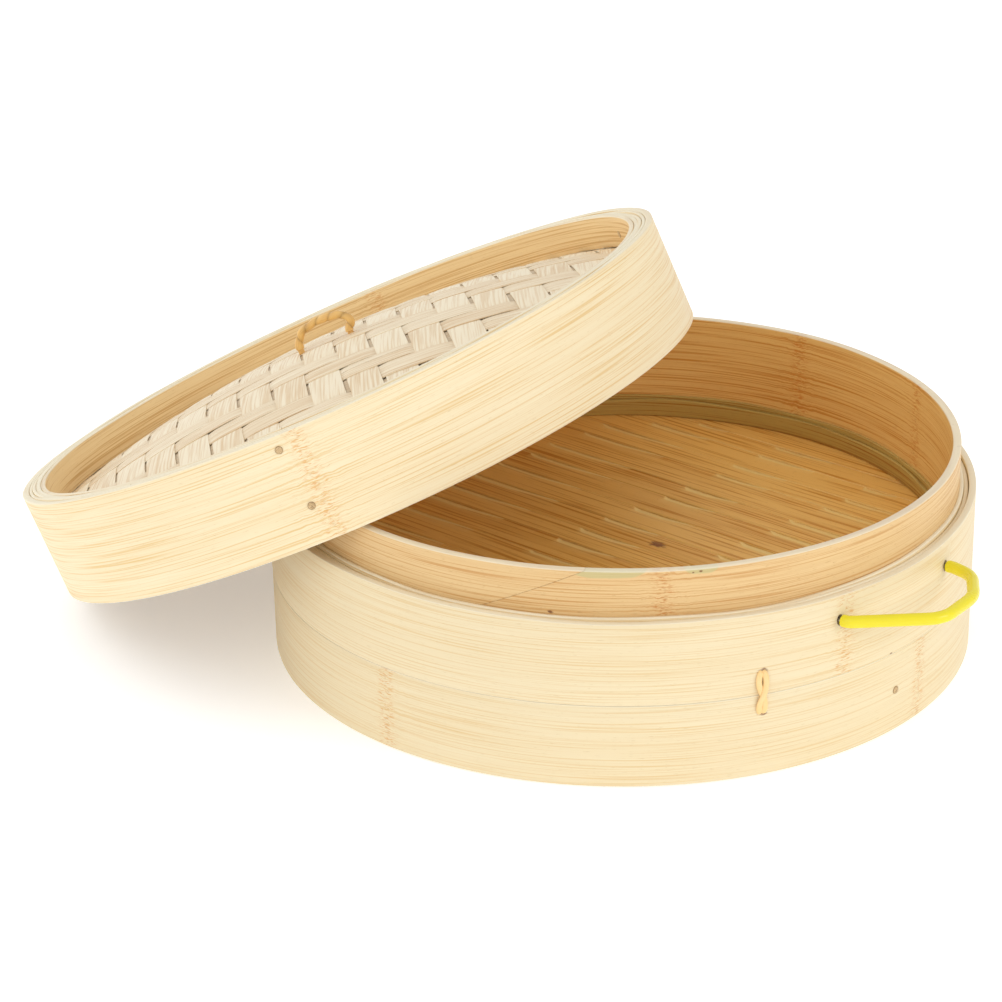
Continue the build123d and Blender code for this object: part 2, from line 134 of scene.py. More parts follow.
# Brown of small dark spots, also used as painted shade in the stitch's holes.
SPOT_AND_HOLE_SHADE_BROWN = (0.15, 0.03, 0.008)
PEG_PALE, PEG_BROWN = (0.72, 0.52, 0.28), (0.55, 0.36, 0.17)
PEG_PORE, PEG_RIM = (0.16, 0.08, 0.03), (0.2, 0.11, 0.045)
STEEL_BRIGHT, STEEL_DULL = (0.56, 0.55, 0.52), (0.4, 0.38, 0.34)
PAPER_PALE, PAPER_SHADE = (0.97, 0.97, 0.97), (0.95, 0.95, 0.95)


# ---------------------------------------------------------------- sizes and colours
def node_top(name):
    """Top of a CAD node at rest, in millimetres."""
    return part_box(name)[1].z / MM


def length(name, description, millimetres):
    """A length that a user may change."""
    return FloatProperty(
        name=name, description=description, default=millimetres * MM, min=0.0, unit="LENGTH", precision=5
    )


def angle(name, description, degrees):
    """An angle that a user may change."""
    return FloatProperty(name=name, description=description, default=math.radians(degrees), subtype="ANGLE")


def colour(name, description, red, green, blue):
    """A colour that a user may change, given as it looks on a screen, from 0 to 255."""
    shown = [channel / 255 for channel in (red, green, blue)]
    linear = [c / 12.92 if c < 0.04045 else ((c + 0.055) / 1.055) ** 2.4 for c in shown]
    return FloatVectorProperty(
        name=name, description=description, default=linear, size=3, subtype="COLOR", min=0.0, max=1.0
    )


class SteamerSizes(bpy.types.PropertyGroup):
    """Sizes of the steamer."""

    band_radius: length("Band radius", "Outside of the outer bands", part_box("lower_outer_band")[1].x / MM)
    band_thickness: length("Band thickness", "Wood of each outer band", 3.0)
    band_seam: length("Band seam", "Height at which the two outer bands meet", node_top("lower_outer_band"))
    shoulder: length("Shoulder", "Top of the outer bands", node_top("upper_outer_band"))
    rim: length("Rim", "Top of the collar", node_top("collar_band"))
    strip_thickness: length("Strip thickness", "Each strip between the collar and the bands", 2.0)
    collar_thickness: length("Collar thickness", "Wood of the collar", 3.5)
    collar_play: length("Collar play", "Radial play of a collar in a socket", 0.6)
    socket_depth: length("Socket depth", "Depth of the socket underneath", node_top("foot_strip"))
    floor_top: length("Floor top", "Top of the slats", node_top("floor_slat_09"))
    slat_thickness: length("Slat thickness", "Wood of a slat", 3.6)
    lath_thickness: length("Lath thickness", "Each lath that holds the slats down", 1.4)
    scoop_width: length("Scoop width", "How far a steam scoop cuts into a slat", 3.8)
    scoop_depth: length("Scoop depth", "Depth of a scoop at the slat's edge", 0.75)
    handle_height: length("Handle height", "Turning axis of the side handles", 59.0)
    handle_span: length("Handle span", "Between a handle's two legs", 67.7)
    wire_radius: length("Wire radius", "Steel wire of the handles", 1.0)
    sleeve_radius: length("Sleeve radius", "Plastic sleeve of the handles", 2.5)
    lid_height: length("Lid height", "Height of the lid's wall", 46.8)
    lid_ring_low: length("Ring start", "Lower edge of the ring under the mat", 19.6)
    mat_edge: length("Mat edge", "Top of the mat where the liners clamp it", 31.8)
    mat_rise: length("Mat rise", "Height of the mat's crown above its edge", 18.2)
    liner_thickness: length("Liner thickness", "Each ring above the mat", 2.2)
    warp_pitch: length("Warp pitch", "From one warp strip to the next", 15.6)
    weft_pitch: length("Weft pitch", "From one weft strip to the next", 17.0)
    strip_gauge: length("Weave gauge", "Thickness of a woven strip", 0.42)
    peg_radius: length("Peg radius", "Bamboo pegs", 1.65)
    lid_lean: angle("Lid lean", "Tilt of the leaning lid", 24.7)
    lid_heading: angle("Lid heading", "Direction in which the lid's low side points", 156.0)
    hoop_steps: IntProperty(name="Hoop steps", description="Facets round a hoop", default=240, min=48)


class SteamerColours(bpy.types.PropertyGroup):
    """Colours of the steamer's woods and fittings."""

    band_pale: colour("Band pale", "Pale wood of the outer bands", 245, 229, 192)
    band_streak: colour("Band streak", "Fibre lines of the outer bands", 228, 190, 122)
    collar_pale: colour("Collar pale", "Pale wood of the collar", 231, 198, 144)
    collar_streak: colour("Collar streak", "Orange streaks of the collar", 200, 144, 76)
    inner_pale: colour("Inner pale", "Steamed wood inside the wall", 246, 205, 128)
    inner_streak: colour("Inner streak", "Streaks inside the wall", 216, 152, 70)
    floor_pale: colour("Floor pale", "Pale fibres of the slats", 242, 190, 102)
    floor_streak: colour("Floor streak", "Dark fibres of the slats", 206, 138, 44)
    # Pale of cut faces; on the slats it also paints a highlight along the scoops' arrises and light on their
    # shaded side walls.
    cut_wood_and_painted_light: colour("Cut wood", "Freshly cut faces", 255, 218, 136)
    liner_pale: colour("Liner pale", "Pale wood of the ring inside the lid", 244, 214, 160)
    liner_streak: colour("Liner streak", "Streaks of the ring inside the lid", 216, 174, 112)
    rim_cream: colour("Rim cream", "Cut edges of the bent strips", 252, 244, 220)
    skin_pale: colour("Pale skin", "Patches of skin on the collar", 196, 186, 132)
    skin_green: colour("Green skin", "Natural skin left on a strip", 196, 168, 92)
    weave_cream: colour("Weave cream", "Woven strips", 246, 232, 203)
    weave_shade: colour("Weave shade", "Fibre lines of the woven strips", 222, 192, 150)
    cane: colour("Cane", "Rattan of the loop", 246, 202, 122)
    stitch: colour("Stitch", "Pale rattan of the stitch", 248, 214, 158)
    # cane_shade is the rattan's darker fibre tone; darkened further it paints the shade in the grooves of the
    # loop's winding.
    cane_shade: colour("Cane shade", "Grooves of the rattan", 200, 144, 72)
    sleeve_yellow: colour("Sleeve yellow", "Plastic sleeve", 242, 226, 36)


def sizes():
    return bpy.context.scene.steamer_sizes


def colours():
    return bpy.context.scene.steamer_colours


# ---------------------------------------------------------------- places
def lid_place():
    """The lid's own frame while it leans: its lower centre, with Z along its axis."""
    size = sizes()
    lean, heading = size.lid_lean, size.lid_heading
    up = Vector((math.sin(lean) * math.cos(heading), math.sin(lean) * math.sin(heading), math.cos(lean)))
    across = (Vector((1, 0, 0)) - up * up.x).normalized()
    along = up.cross(across)
    low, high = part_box("lid_outer_band")
    centre = (low + high) / 2 - up * size.lid_height / 2
    turn = Matrix((across, along, up)).transposed().to_4x4()
    return Matrix.Translation(centre) @ turn


def handle_place(heading, lift):
    """A side handle's frame: X along its turning axis, Y out along its legs."""
    size = sizes()
    face = math.sqrt((size.band_radius - size.band_thickness) ** 2 - (size.handle_span / 2) ** 2)
    reach = face - HANDLE_PIVOT_DEPTH
    return radial_place(heading, size.handle_height, reach) @ Matrix.Rotation(math.radians(lift), 4, "X")


def leg_places(across, along, up=0.0):
    """The same place at each of the handles' legs, mirrored from leg to leg, with the handles level."""
    return [
        handle_place(heading, 0) @ Matrix.Translation((side * across, along, up))
        for heading in HANDLES.values()
        for side in (-1, 1)
    ]


def radial_place(heading, height, reach=0.0):
    """A place on the wall whose Y axis points outwards."""
    turn = Matrix.Rotation(math.radians(heading - 90), 4, "Z")
    return turn @ Matrix.Translation((0, reach, height))


def dome_radius():
    """Radius of the sphere that the mat is part of."""
    size = sizes()
    return (lid_inside() ** 2 + size.mat_rise**2) / (2 * size.mat_rise)


def dome_height(reach):
    """Height of the mat's upper face at a distance from the lid's axis."""
    size = sizes()
    reach = min(reach, lid_inside())
    radius = dome_radius()
    return size.mat_edge + size.mat_rise - (radius - math.sqrt(radius**2 - reach**2))


def loop_place(lid):
    """The loop's turning axis: X through its feet, Z away from the mat."""
    height = dome_height(math.hypot(*LOOP_CENTRE)) - MAT_LAYER
    return lid @ Matrix.Translation((*LOOP_CENTRE, height)) @ Matrix.Rotation(LOOP_TURN, 4, "Z")


def collar_outside():
    size = sizes()
    return size.band_radius - size.band_thickness - 2 * size.strip_thickness


def collar_inside():
    return collar_outside() - sizes().collar_thickness


def socket_wall():
    return collar_outside() + sizes().collar_play


def lid_inside():
    return socket_wall() - 2 * sizes().liner_thickness


# ---------------------------------------------------------------- shader maths
class Wire:
    """One output of a finish's node tree, with arithmetic that adds Math nodes."""

    def __init__(self, finish, socket):
        self.finish = finish
        self.socket = socket

    def maths(self, operation, *others, clamp=False):
        return self.finish.add("ShaderNodeMath", {"operation": operation, "use_clamp": clamp}, self, *others)

    def __add__(self, other):
        return self.maths("ADD", other)

    __radd__ = __add__

    def __sub__(self, other):
        return self.maths("SUBTRACT", other)

    def __rsub__(self, other):
        return (self * -1.0) + other

    def __mul__(self, other):
        return self.maths("MULTIPLY", other)

    __rmul__ = __mul__

    def __truediv__(self, other):
        return self.maths("DIVIDE", other)

    def __pow__(self, other):
        return self.maths("POWER", other)

    def __abs__(self):
        return self.maths("ABSOLUTE")

    def at_most(self, other):
        return self.maths("MINIMUM", other)

    def at_least(self, other):
        return self.maths("MAXIMUM", other)

    def rise(self, low, high):
        """0 below low, 1 above high, and a smooth step between."""
        settings = {"interpolation_type": "SMOOTHSTEP"}
        return self.finish.add("ShaderNodeMapRange", settings, self, low, high, 0.0, 1.0)

    def fall(self, low, high):
        """1 below low, 0 above high, and a smooth step between."""
        return 1 - self.rise(low, high)

    def held(self):
        """Kept between 0 and 1."""
        return self.at_least(0.0).at_most(1.0)

    def stretched(self, along, across, deep):
        """A coordinate multiplied along its three axes."""
        return self.finish.add("ShaderNodeVectorMath", {"operation": "MULTIPLY"}, self, (along, across, deep))

    def parts(self):
        """The three numbers of a coordinate."""
        node = self.finish.tree.nodes.new("ShaderNodeSeparateXYZ")
        self.finish.join(self, node.inputs[0])
        return [Wire(self.finish, socket) for socket in node.outputs]


class Finish:
    """A procedural material that is built up by expressions."""

    def __init__(self, name):
        self.material = bpy.data.materials.new(name)
        self.material.use_nodes = True
        self.tree = self.material.node_tree
        self.shader = self.tree.nodes["Principled BSDF"]

    def join(self, value, socket):
        if isinstance(value, Wire):
            self.tree.links.new(value.socket, socket)
        elif isinstance(value, (int, float)):
            socket.default_value = value
        else:
            values = tuple(value)
            socket.default_value = values + (1.0,) * (len(socket.default_value) - len(values))

    def add(self, kind, settings, *values, named=None):
        """A node of any kind: its settings first, then its sockets in order or by name."""
        node = self.tree.nodes.new(kind)
        for key, value in settings.items():
            setattr(node, key, value)
        for value, socket in zip(values, [s for s in node.inputs if s.enabled]):
            if value is not None:
                self.join(value, socket)
        for key, value in (named or {}).items():
            self.join(value, node.inputs[key])
        return Wire(self, next(s for s in node.outputs if s.enabled))

    def read(self, name, output="Vector"):
        """A value that the piece carries on its mesh."""
        node = self.tree.nodes.new("ShaderNodeAttribute")
        node.attribute_name = name
        return Wire(self, node.outputs[output])

    def noise(self, where, along, across, deep, detail=2.0, roughness=0.5):
        """Noise with its own grain size in each direction, in metres."""
        scaled = where.stretched(1 / along, 1 / across, 1 / deep)
        named = {"Scale": 1.0, "Detail": detail, "Roughness": roughness}
        return self.add("ShaderNodeTexNoise", {}, scaled, named=named)

    def sway(self, *arguments):
        """The same noise about zero."""
        return self.noise(*arguments) - 0.5

    def mix(self, factor, first, second):
        """One colour into another."""
        node = self.tree.nodes.new("ShaderNodeMix")
        node.data_type = "RGBA"
        sockets = {s.identifier: s for s in node.inputs}
        self.join(factor, sockets["Factor_Float"])
        self.join(first, sockets["A_Color"])
        self.join(second, sockets["B_Color"])
        return Wire(self, next(s for s in node.outputs if s.identifier == "Result_Color"))

    def done(self, colour_wire, roughness, height, depth, strength=1.0, **constants):
        """Feeds the shader and gives back the material."""
        self.join(colour_wire, self.shader.inputs["Base Color"])
        self.join(roughness, self.shader.inputs["Roughness"])
        named = {"Strength": strength, "Distance": depth, "Height": height}
        self.join(self.add("ShaderNodeBump", {}, named=named), self.shader.inputs["Normal"])
        for key, value in constants.items():
            self.shader.inputs[key.replace("_", " ")].default_value = value
        return self.material


def times(colour_value, factor):
    """A colour made darker or lighter."""
    return tuple(min(channel * factor, 1.0) for channel in colour_value)


def bamboo(
    name, pale, streak, contrast=0.5, knots=(), skins=(), spots=(), roughness=0.5, fleck=0.35, gloss=0.35,
    fresh_wood=None, coarse=1.0
):
    """Split bamboo: long fibres, short flecks, jagged knot lines with painted highlight ticks, skin patches
    and small dark spots, some of which paint the shade in holes.

    knots are places along the strip, skins are (start, stop, lowest height), and spots are
    (place, height, radius).
    """
    finish = Finish(name)
    grain = finish.read("grain")
    along, height, _ = grain.parts()
    tint = finish.read("tint", "Fac")
    near_knot = None
    for place in knots:
        close = abs(along - place).fall(0.004, 0.022)
        near_knot = close if near_knot is None else near_knot.at_least(close)
    if near_knot is not None:
        swirl = finish.sway(grain, 0.004, 0.003, 0.02, 3.0) * near_knot * 0.0018
        shift = finish.add("ShaderNodeCombineXYZ", {}, 0.0, swirl, 0.0)
        grain = finish.add("ShaderNodeVectorMath", {"operation": "ADD"}, grain, shift)
    broad = finish.noise(grain, 0.2, 0.011, 0.02)
    bundle = finish.noise(grain, 0.14, 0.0022 * coarse, 0.01, 3.0)
    lines = finish.noise(grain, 0.08, 0.00062 * coarse, 0.004, 2.0).rise(0.48, 0.66)
    fibre = finish.noise(grain, 0.03, 0.00045, 0.002, 2.0)
    flecks = finish.noise(grain, 0.0035, 0.00034, 0.002, 2.0).rise(0.64, 0.72)
    shade = (broad - 0.5) * 0.8 + (bundle - 0.5) * 0.7 + lines * 1.5 + (fibre - 0.5) * 0.8 + tint
    paint = finish.mix((shade * contrast + 0.1).held(), pale, streak)
    paint = finish.mix(flecks * fleck, paint, times(streak, 0.8))
    # Mask of pale cut faces; on the slats it also holds painted highlight and painted light.
    cut_face_and_painted_light = finish.read("cut", "Fac")
    mark = (streak[0] * 0.98, streak[1] * 0.72, streak[2] * 0.5)
    for place in knots:
        offset = along - place + finish.sway(grain, 0.4, 0.0014, 0.01, 3.0) * 0.01
        comb = abs(offset).fall(0.0015, 0.006)
        dashes = finish.noise(grain, 0.0032, 0.00055, 0.01, 2.0).rise(0.5, 0.62)
        # Pale ticks across a knot: a painted highlight on the node's fibres.
        highlight_ticks = finish.noise(grain, 0.0014, 0.0008, 0.03, 2.0).rise(0.62, 0.7)
        paint = finish.mix(comb * dashes * 0.65, paint, mark)
        paint = finish.mix(comb * highlight_ticks * 0.4, paint, times(pale, 1.15))
        line = abs(offset).fall(0.0001, 0.0008) * finish.noise(grain, 0.01, 0.002, 0.01).rise(0.42, 0.6)
        paint = finish.mix(line * 0.25, paint, times(mark, 0.7))
    for start, stop, lowest in skins:
        bow = (along - (start + stop) / 2) / ((stop - start) / 2)
        ragged = height + finish.sway(grain, 0.012, 0.004, 0.01) * 0.0015 - bow * bow * bow * bow * SKIN_BOW
        paint = finish.mix(ragged.rise(lowest, lowest + 0.0008) * 0.75, paint, colours().skin_pale)
    for place, level, radius in spots:
        wide = (along - place) / 1.6
        away = (wide * wide + (height - level) * (height - level)) ** 0.5
        ragged = away + finish.sway(grain, 0.003, 0.0012, 0.01, 3.0) * radius * 1.6
        paint = finish.mix(ragged.fall(radius * 0.3, radius) * 0.8, paint, SPOT_AND_HOLE_SHADE_BROWN)
    fresh_wood = colours().rim_cream if fresh_wood is None else fresh_wood
    paint = finish.mix(cut_face_and_painted_light, paint, finish.mix(fibre, fresh_wood, times(fresh_wood, 0.82)))
    relief = fibre * 0.5 + bundle * 0.5 - flecks * 0.3
    rough = fibre * 0.18 + (roughness - 0.09)
    return finish.done(paint, rough, relief, 0.00012, 0.6, Specular_IOR_Level=gloss)


def woven_finish(name, pale, shade_colour):
    """Dry split strips: fine parallel fibres, each strip with its own tone, and painted shade where a strip
    dips under the strips that cross it.
    """
    finish = Finish(name)
    grain = finish.read("grain")
    tint = finish.read("tint", "Fac")
    bundle = finish.noise(grain, 0.05, 0.001, 0.01, 2.0).rise(0.35, 0.65)
    fibre = finish.noise(grain, 0.02, 0.0004, 0.002, 2.0)
    broad = finish.noise(grain, 0.03, 0.008, 0.02)
    # Painted shade: a strip is darkened where it passes under a crossing strip.
    edge = finish.read("cut", "Fac")
    shade = (bundle - 0.5) * 0.8 + (fibre - 0.5) * 0.9 + (broad - 0.5) * 0.5 + tint + 0.22
    paint = finish.mix(shade.held(), pale, shade_colour)
    paint = finish.mix(edge * 0.55, paint, times(shade_colour, 0.62))
    rough = fibre * 0.2 + 0.42
    return finish.done(paint, rough, fibre * 0.6 + bundle * 0.4, 0.00015, 0.7, Specular_IOR_Level=0.4)


def cane_finish(name, pale, shade_colour):
    """Rattan skin: glossy, lengthwise fibres, with painted shade in the grooves."""
    finish = Finish(name)
    grain = finish.read("grain")
    fibre = finish.noise(grain, 0.012, 0.0003, 0.002, 2.0)
    broad = finish.noise(grain, 0.006, 0.002, 0.004, 2.0)
    groove_shade = finish.read("cut", "Fac")
    shade = (fibre - 0.5) * 1.1 + (broad - 0.5) * 1.0 + 0.3
    paint = finish.mix(shade.held(), pale, shade_colour)
    paint = finish.mix(groove_shade * 0.8, paint, times(colours().cane_shade, 0.35))
    return finish.done(paint, fibre * 0.2 + 0.3, fibre, 0.0001, 0.5, Specular_IOR_Level=0.5)


def peg_finish():
    """Cut ends of bamboo pegs: pale brown with dark pores and a dark rim."""
    finish = Finish("peg_wood")
    spot = finish.read("grain")
    along, across, _ = spot.parts()
    away = (along * along + across * across) ** 0.5
    pores = finish.noise(spot, 0.0004, 0.0004, 0.0004, 1.0).rise(0.56, 0.66)
    broad = finish.noise(spot, 0.002, 0.002, 0.002)
    paint = finish.mix(broad, PEG_PALE, PEG_BROWN)
    paint = finish.mix(pores * 0.6, paint, PEG_PORE)
    paint = finish.mix(away.rise(0.0012, 0.0016) * 0.5, paint, PEG_RIM)
    return finish.done(paint, pores * 0.2 + 0.5, pores * -1.0, 0.0002, 0.6)


def steel_finish():
    """Drawn steel wire with fine lengthwise lines and a little dullness."""
    finish = Finish("drawn_steel")
    grain = finish.read("grain")
    lines = finish.noise(grain, 0.02, 0.00015, 0.001)
    dull = finish.noise(grain, 0.006, 0.003, 0.003, 3.0)
    paint = finish.mix(dull, STEEL_BRIGHT, STEEL_DULL)
    return finish.done(paint, dull * 0.2 + lines * 0.1 + 0.2, lines, 0.00003, 0.3, Metallic=1.0)


def sleeve_finish():
    """Glossy extruded plastic: faint draw lines and slight shifts of tone."""
    finish = Finish("yellow_plastic")
    grain = finish.read("grain")
    lines = finish.noise(grain, 0.04, 0.0006, 0.002)
    cloud = finish.noise(grain, 0.012, 0.008, 0.008, 3.0)
    paint = finish.mix(cloud * 0.5, colours().sleeve_yellow, times(colours().sleeve_yellow, 0.82))
    return finish.done(
        paint, cloud * 0.12 + 0.2, lines, 0.00005, 0.25, Specular_IOR_Level=0.5, Subsurface_Weight=0.15,
        Subsurface_Radius=(0.002, 0.002, 0.0006)
    )


# ---------------------------------------------------------------- modelling
def start_clean():
    """Object mode with nothing selected."""
    if bpy.context.mode != "OBJECT":
        bpy.ops.object.mode_set(mode="OBJECT")
    bpy.ops.object.select_all(action="DESELECT")


def pick(*pieces):
    """Selects these pieces alone and makes the first one active."""
    start_clean()
    for piece in pieces:
        piece.select_set(True)
    bpy.context.view_layer.objects.active = pieces[0]


@contextmanager
def editing(action="SELECT"):
    """Edit mode on the active piece, with all of it selected or nothing."""
    bpy.ops.object.mode_set(mode="EDIT")
    bpy.ops.mesh.select_all(action=action)
    yield
    bpy.ops.object.mode_set(mode="OBJECT")


def apply_modifier(piece, kind, **settings):
    """Adds a modifier to the active piece and applies it."""
    modifier = piece.modifiers.new(kind.title(), kind)
    for key, value in settings.items():
        setattr(modifier, key, value)
    bpy.ops.object.modifier_apply(modifier=modifier.name)


def outward(merge=0.0):
    """Merges doubles if asked, and turns the active piece's faces outwards."""
    with editing():
        if merge:
            bpy.ops.mesh.remove_doubles(threshold=merge)
        bpy.ops.mesh.normals_make_consistent(inside=False)


def vertices(piece):
    """A piece's vertices as an array."""
    flat = np.empty(len(piece.data.vertices) * 3)
    piece.data.vertices.foreach_get("co", flat)
    return flat.reshape(-1, 3)


def put_vertices(piece, places):
    piece.data.vertices.foreach_set("co", np.asarray(places, float).ravel())
    piece.data.update()


def carry(piece, name, values):
    """Stores one number or one vector for each vertex."""
    values = np.asarray(values, float)
    kind = "FLOAT" if values.ndim == 1 else "FLOAT_VECTOR"
    layer = piece.data.attributes.new(name, kind, "POINT")
    layer.data.foreach_set("value" if kind == "FLOAT" else "vector", values.ravel())


def finish_piece(piece, name, material, node, body, place=None, crease=35.0):
    """Names, places and smooths a piece, hides the CAD node that it stands for, and ties it to its body."""
    pick(piece)
    piece.name = name
    piece.data.name = name
    if place is not None:
        piece.data.transform(place)
    for layer in ("tint", "cut"):
        if layer not in piece.data.attributes:
            carry(piece, layer, np.zeros(len(piece.data.vertices)))
    piece.data.materials.clear()
    piece.data.materials.append(material)
    bpy.ops.object.shade_smooth_by_angle(angle=math.radians(crease))
    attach(piece, body)
    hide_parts(node)
    return piece


def wave(turns, phases, amount):
    """A slow uneven swell round a hoop, as a function of the angle."""
    return lambda turn: amount * sum(
        np.sin(count * turn + phase) / (1 + index) for index, (count, phase) in enumerate(zip(turns, phases))
    )


def bent_strip(outer, inner, low, high, joint, slant=STRIP_SLANT, rounding=0.5 * MM, uneven=0.0, seed=1):
    """A strip bent into a hoop, with its two slanted ends at the joint, and its grain laid along it."""
    start_clean()
    middle = ((outer + inner) / 2, 0, (low + high) / 2)
    bpy.ops.mesh.primitive_plane_add(size=1, location=middle, rotation=(math.pi / 2, 0, 0))
    strip = bpy.context.object
    strip.scale = (outer - inner, high - low, 1)
    bpy.ops.object.transform_apply(location=True, rotation=True, scale=True)
    rounding = min(rounding, (outer - inner) * 0.35)
    twist = math.tan(slant) / outer  # radians of turn for each metre of height
    rows = math.ceil(twist * (high - low) / MOST_ROW_TWIST)
    slit = JOINT_SLIT / outer
    with editing():
        bpy.ops.mesh.bevel(offset=rounding, segments=3, affect="VERTICES")
        for row in range(1, rows):
            bpy.ops.mesh.select_all(action="SELECT")
            bpy.ops.mesh.bisect(plane_co=(0, 0, low + (high - low) * row / rows), plane_no=(0, 0, 1))
        bpy.ops.mesh.select_all(action="SELECT")
        bpy.ops.mesh.spin(steps=sizes().hoop_steps, angle=TURN - slit, center=(0, 0, 0), axis=(0, 0, 1))
    outward(merge=1e-6)
    spot = vertices(strip)
    reach = np.hypot(spot[:, 0], spot[:, 1])
    turn = np.mod(slit / 2 - np.arctan2(spot[:, 1], spot[:, 0]), TURN)  # the spin ran clockwise
    turn += twist * (spot[:, 2] - (low + high) / 2)
    heading = turn + math.radians(joint)
    edge = rounding * 0.6
    carry(strip, "cut", ((spot[:, 2] > high - edge) | (spot[:, 2] < low + edge)) * 0.65)
    swell = wave((3, 7, 13), (seed, 2.1 * seed, 3.7 * seed), uneven)(heading)
    upper = np.clip((spot[:, 2] - low) / (high - low), 0, 1)
    spot[:, 2] += swell * upper**4
    reach += wave((2, 5), (seed * 1.3, seed * 2.9), 0.08 * MM)(heading)
    carry(strip, "grain", np.column_stack((turn * outer, spot[:, 2], outer - reach)))
    put_vertices(strip, np.column_stack((reach * np.cos(heading), reach * np.sin(heading), spot[:, 2])))
    outward()
    return strip


def along_hoop(heading, joint, outer):
    """How far along a hoop's strip a heading lies, in metres."""
    return (heading - joint) % 360 / 360 * TURN * outer


def cut_with(piece, cutters):
    """Takes the cutters out of a piece and removes them."""
    for cutter in cutters:
        pick(piece)
        apply_modifier(piece, "BOOLEAN", object=cutter, operation="DIFFERENCE", solver="EXACT")
        bpy.data.objects.remove(cutter)


def drill(place, radius, depth, stretch=1.0):
    """A round or oval cutter along a place's Y axis."""
    start_clean()
    bpy.ops.mesh.primitive_cylinder_add(vertices=24, radius=radius, depth=depth)
    cutter = bpy.context.object
    cutter.data.transform(Matrix.Rotation(math.pi / 2, 4, "X"))
    cutter.data.transform(Matrix.Diagonal((1, 1, stretch, 1)))
    cutter.data.transform(place)
    return cutter


def chisel(place, width, depth, height):
    """A box in a place's frame, as a bar or as a cutter."""
    start_clean()
    bpy.ops.mesh.primitive_cube_add(size=1)
    box = bpy.context.object
    box.data.transform(place @ Matrix.Diagonal((width, depth, height, 1)))
    return box


def rounded_path(corners, radii):
    """Points along straight runs joined by arcs."""
    corners = [Vector(corner) for corner in corners]
    points = [corners[0]]
    for before, corner, after, radius in zip(corners, corners[1:], corners[2:], radii):
        back = (before - corner).normalized()
        ahead = (after - corner).normalized()
        half = back.angle(ahead) / 2
        centre = corner + (back + ahead).normalized() * (radius / math.sin(half))
        arm = corner + back * (radius / math.tan(half)) - centre
        bend = math.pi - 2 * half
        axis = back.cross(ahead) * -1
        steps = max(4, math.ceil(bend / 0.12))
        for step in range(steps + 1):
            points.append(centre + Matrix.Rotation(bend * step / steps, 3, axis) @ arm)
    points.append(corners[-1])
    return points


def even_points(points, spacing):
    """The same path with points at an even spacing."""
    points = np.array([tuple(point) for point in points])
    steps = np.linalg.norm(np.diff(points, axis=0), axis=1)
    reach = np.concatenate(([0], np.cumsum(steps)))
    count = max(2, int(reach[-1] / spacing))
    wanted = np.linspace(0, reach[-1], count + 1)
    return np.column_stack([np.interp(wanted, reach, points[:, axis]) for axis in range(3)]), wanted


def rod(
    points, radius, sides=20, spacing=0.8 * MM, shape=None, closed_ends=True, side_axis=(0, 1, 0), thin=1.0
):
    """A bar along a path.

    shape(along, round) gives a factor on the radius, and thin flattens the bar towards side_axis.
    """
    spots, reach = even_points(points, spacing)
    start_clean()
    bpy.ops.mesh.primitive_grid_add(x_subdivisions=sides, y_subdivisions=len(spots) - 1, size=1)
    bar = bpy.context.object
    tangents = np.gradient(spots, axis=0)
    tangents /= np.linalg.norm(tangents, axis=1)[:, None]
    first = np.cross(tangents, np.array(side_axis, float))
    first /= np.linalg.norm(first, axis=1)[:, None]
    second = np.cross(first, tangents)
    grid = vertices(bar)
    column = np.rint((grid[:, 0] + 0.5) * sides).astype(int)
    row = np.rint((grid[:, 1] + 0.5) * (len(spots) - 1)).astype(int)
    turn = column / sides * TURN
    size = np.full(len(grid), radius)
    if shape is not None:
        size = radius * shape(reach[row], turn)
    ring = first[row] * np.cos(turn)[:, None] + second[row] * np.sin(turn)[:, None] * thin
    put_vertices(bar, spots[row] + ring * size[:, None])
    carry(bar, "grain", np.column_stack((reach[row], turn * radius, size)))
    # With a shape, how far the bar is pinched in is stored as painted shade for the grooves.
    if shape is not None:
        carry(bar, "cut", np.clip((1 - size / radius) * 3, 0, 1))
    outward(merge=1e-6)
    if closed_ends:
        with editing("DESELECT"):
            bpy.ops.mesh.select_non_manifold(extend=False)
            bpy.ops.mesh.edge_face_add()
        outward()
    return bar


def joined(parts):
    """Several parts as one mesh."""
    pick(*parts)
    bpy.ops.object.join()
    return bpy.context.object


def laid_grid(columns, rows, place):
    """A grid whose vertices are put by place(u, v), which takes arrays from 0 to 1."""
    start_clean()
    bpy.ops.mesh.primitive_grid_add(x_subdivisions=columns, y_subdivisions=rows, size=1)
    sheet = bpy.context.object
    grid = vertices(sheet)
    put_vertices(sheet, place(grid[:, 0] + 0.5, grid[:, 1] + 0.5))
    return sheet


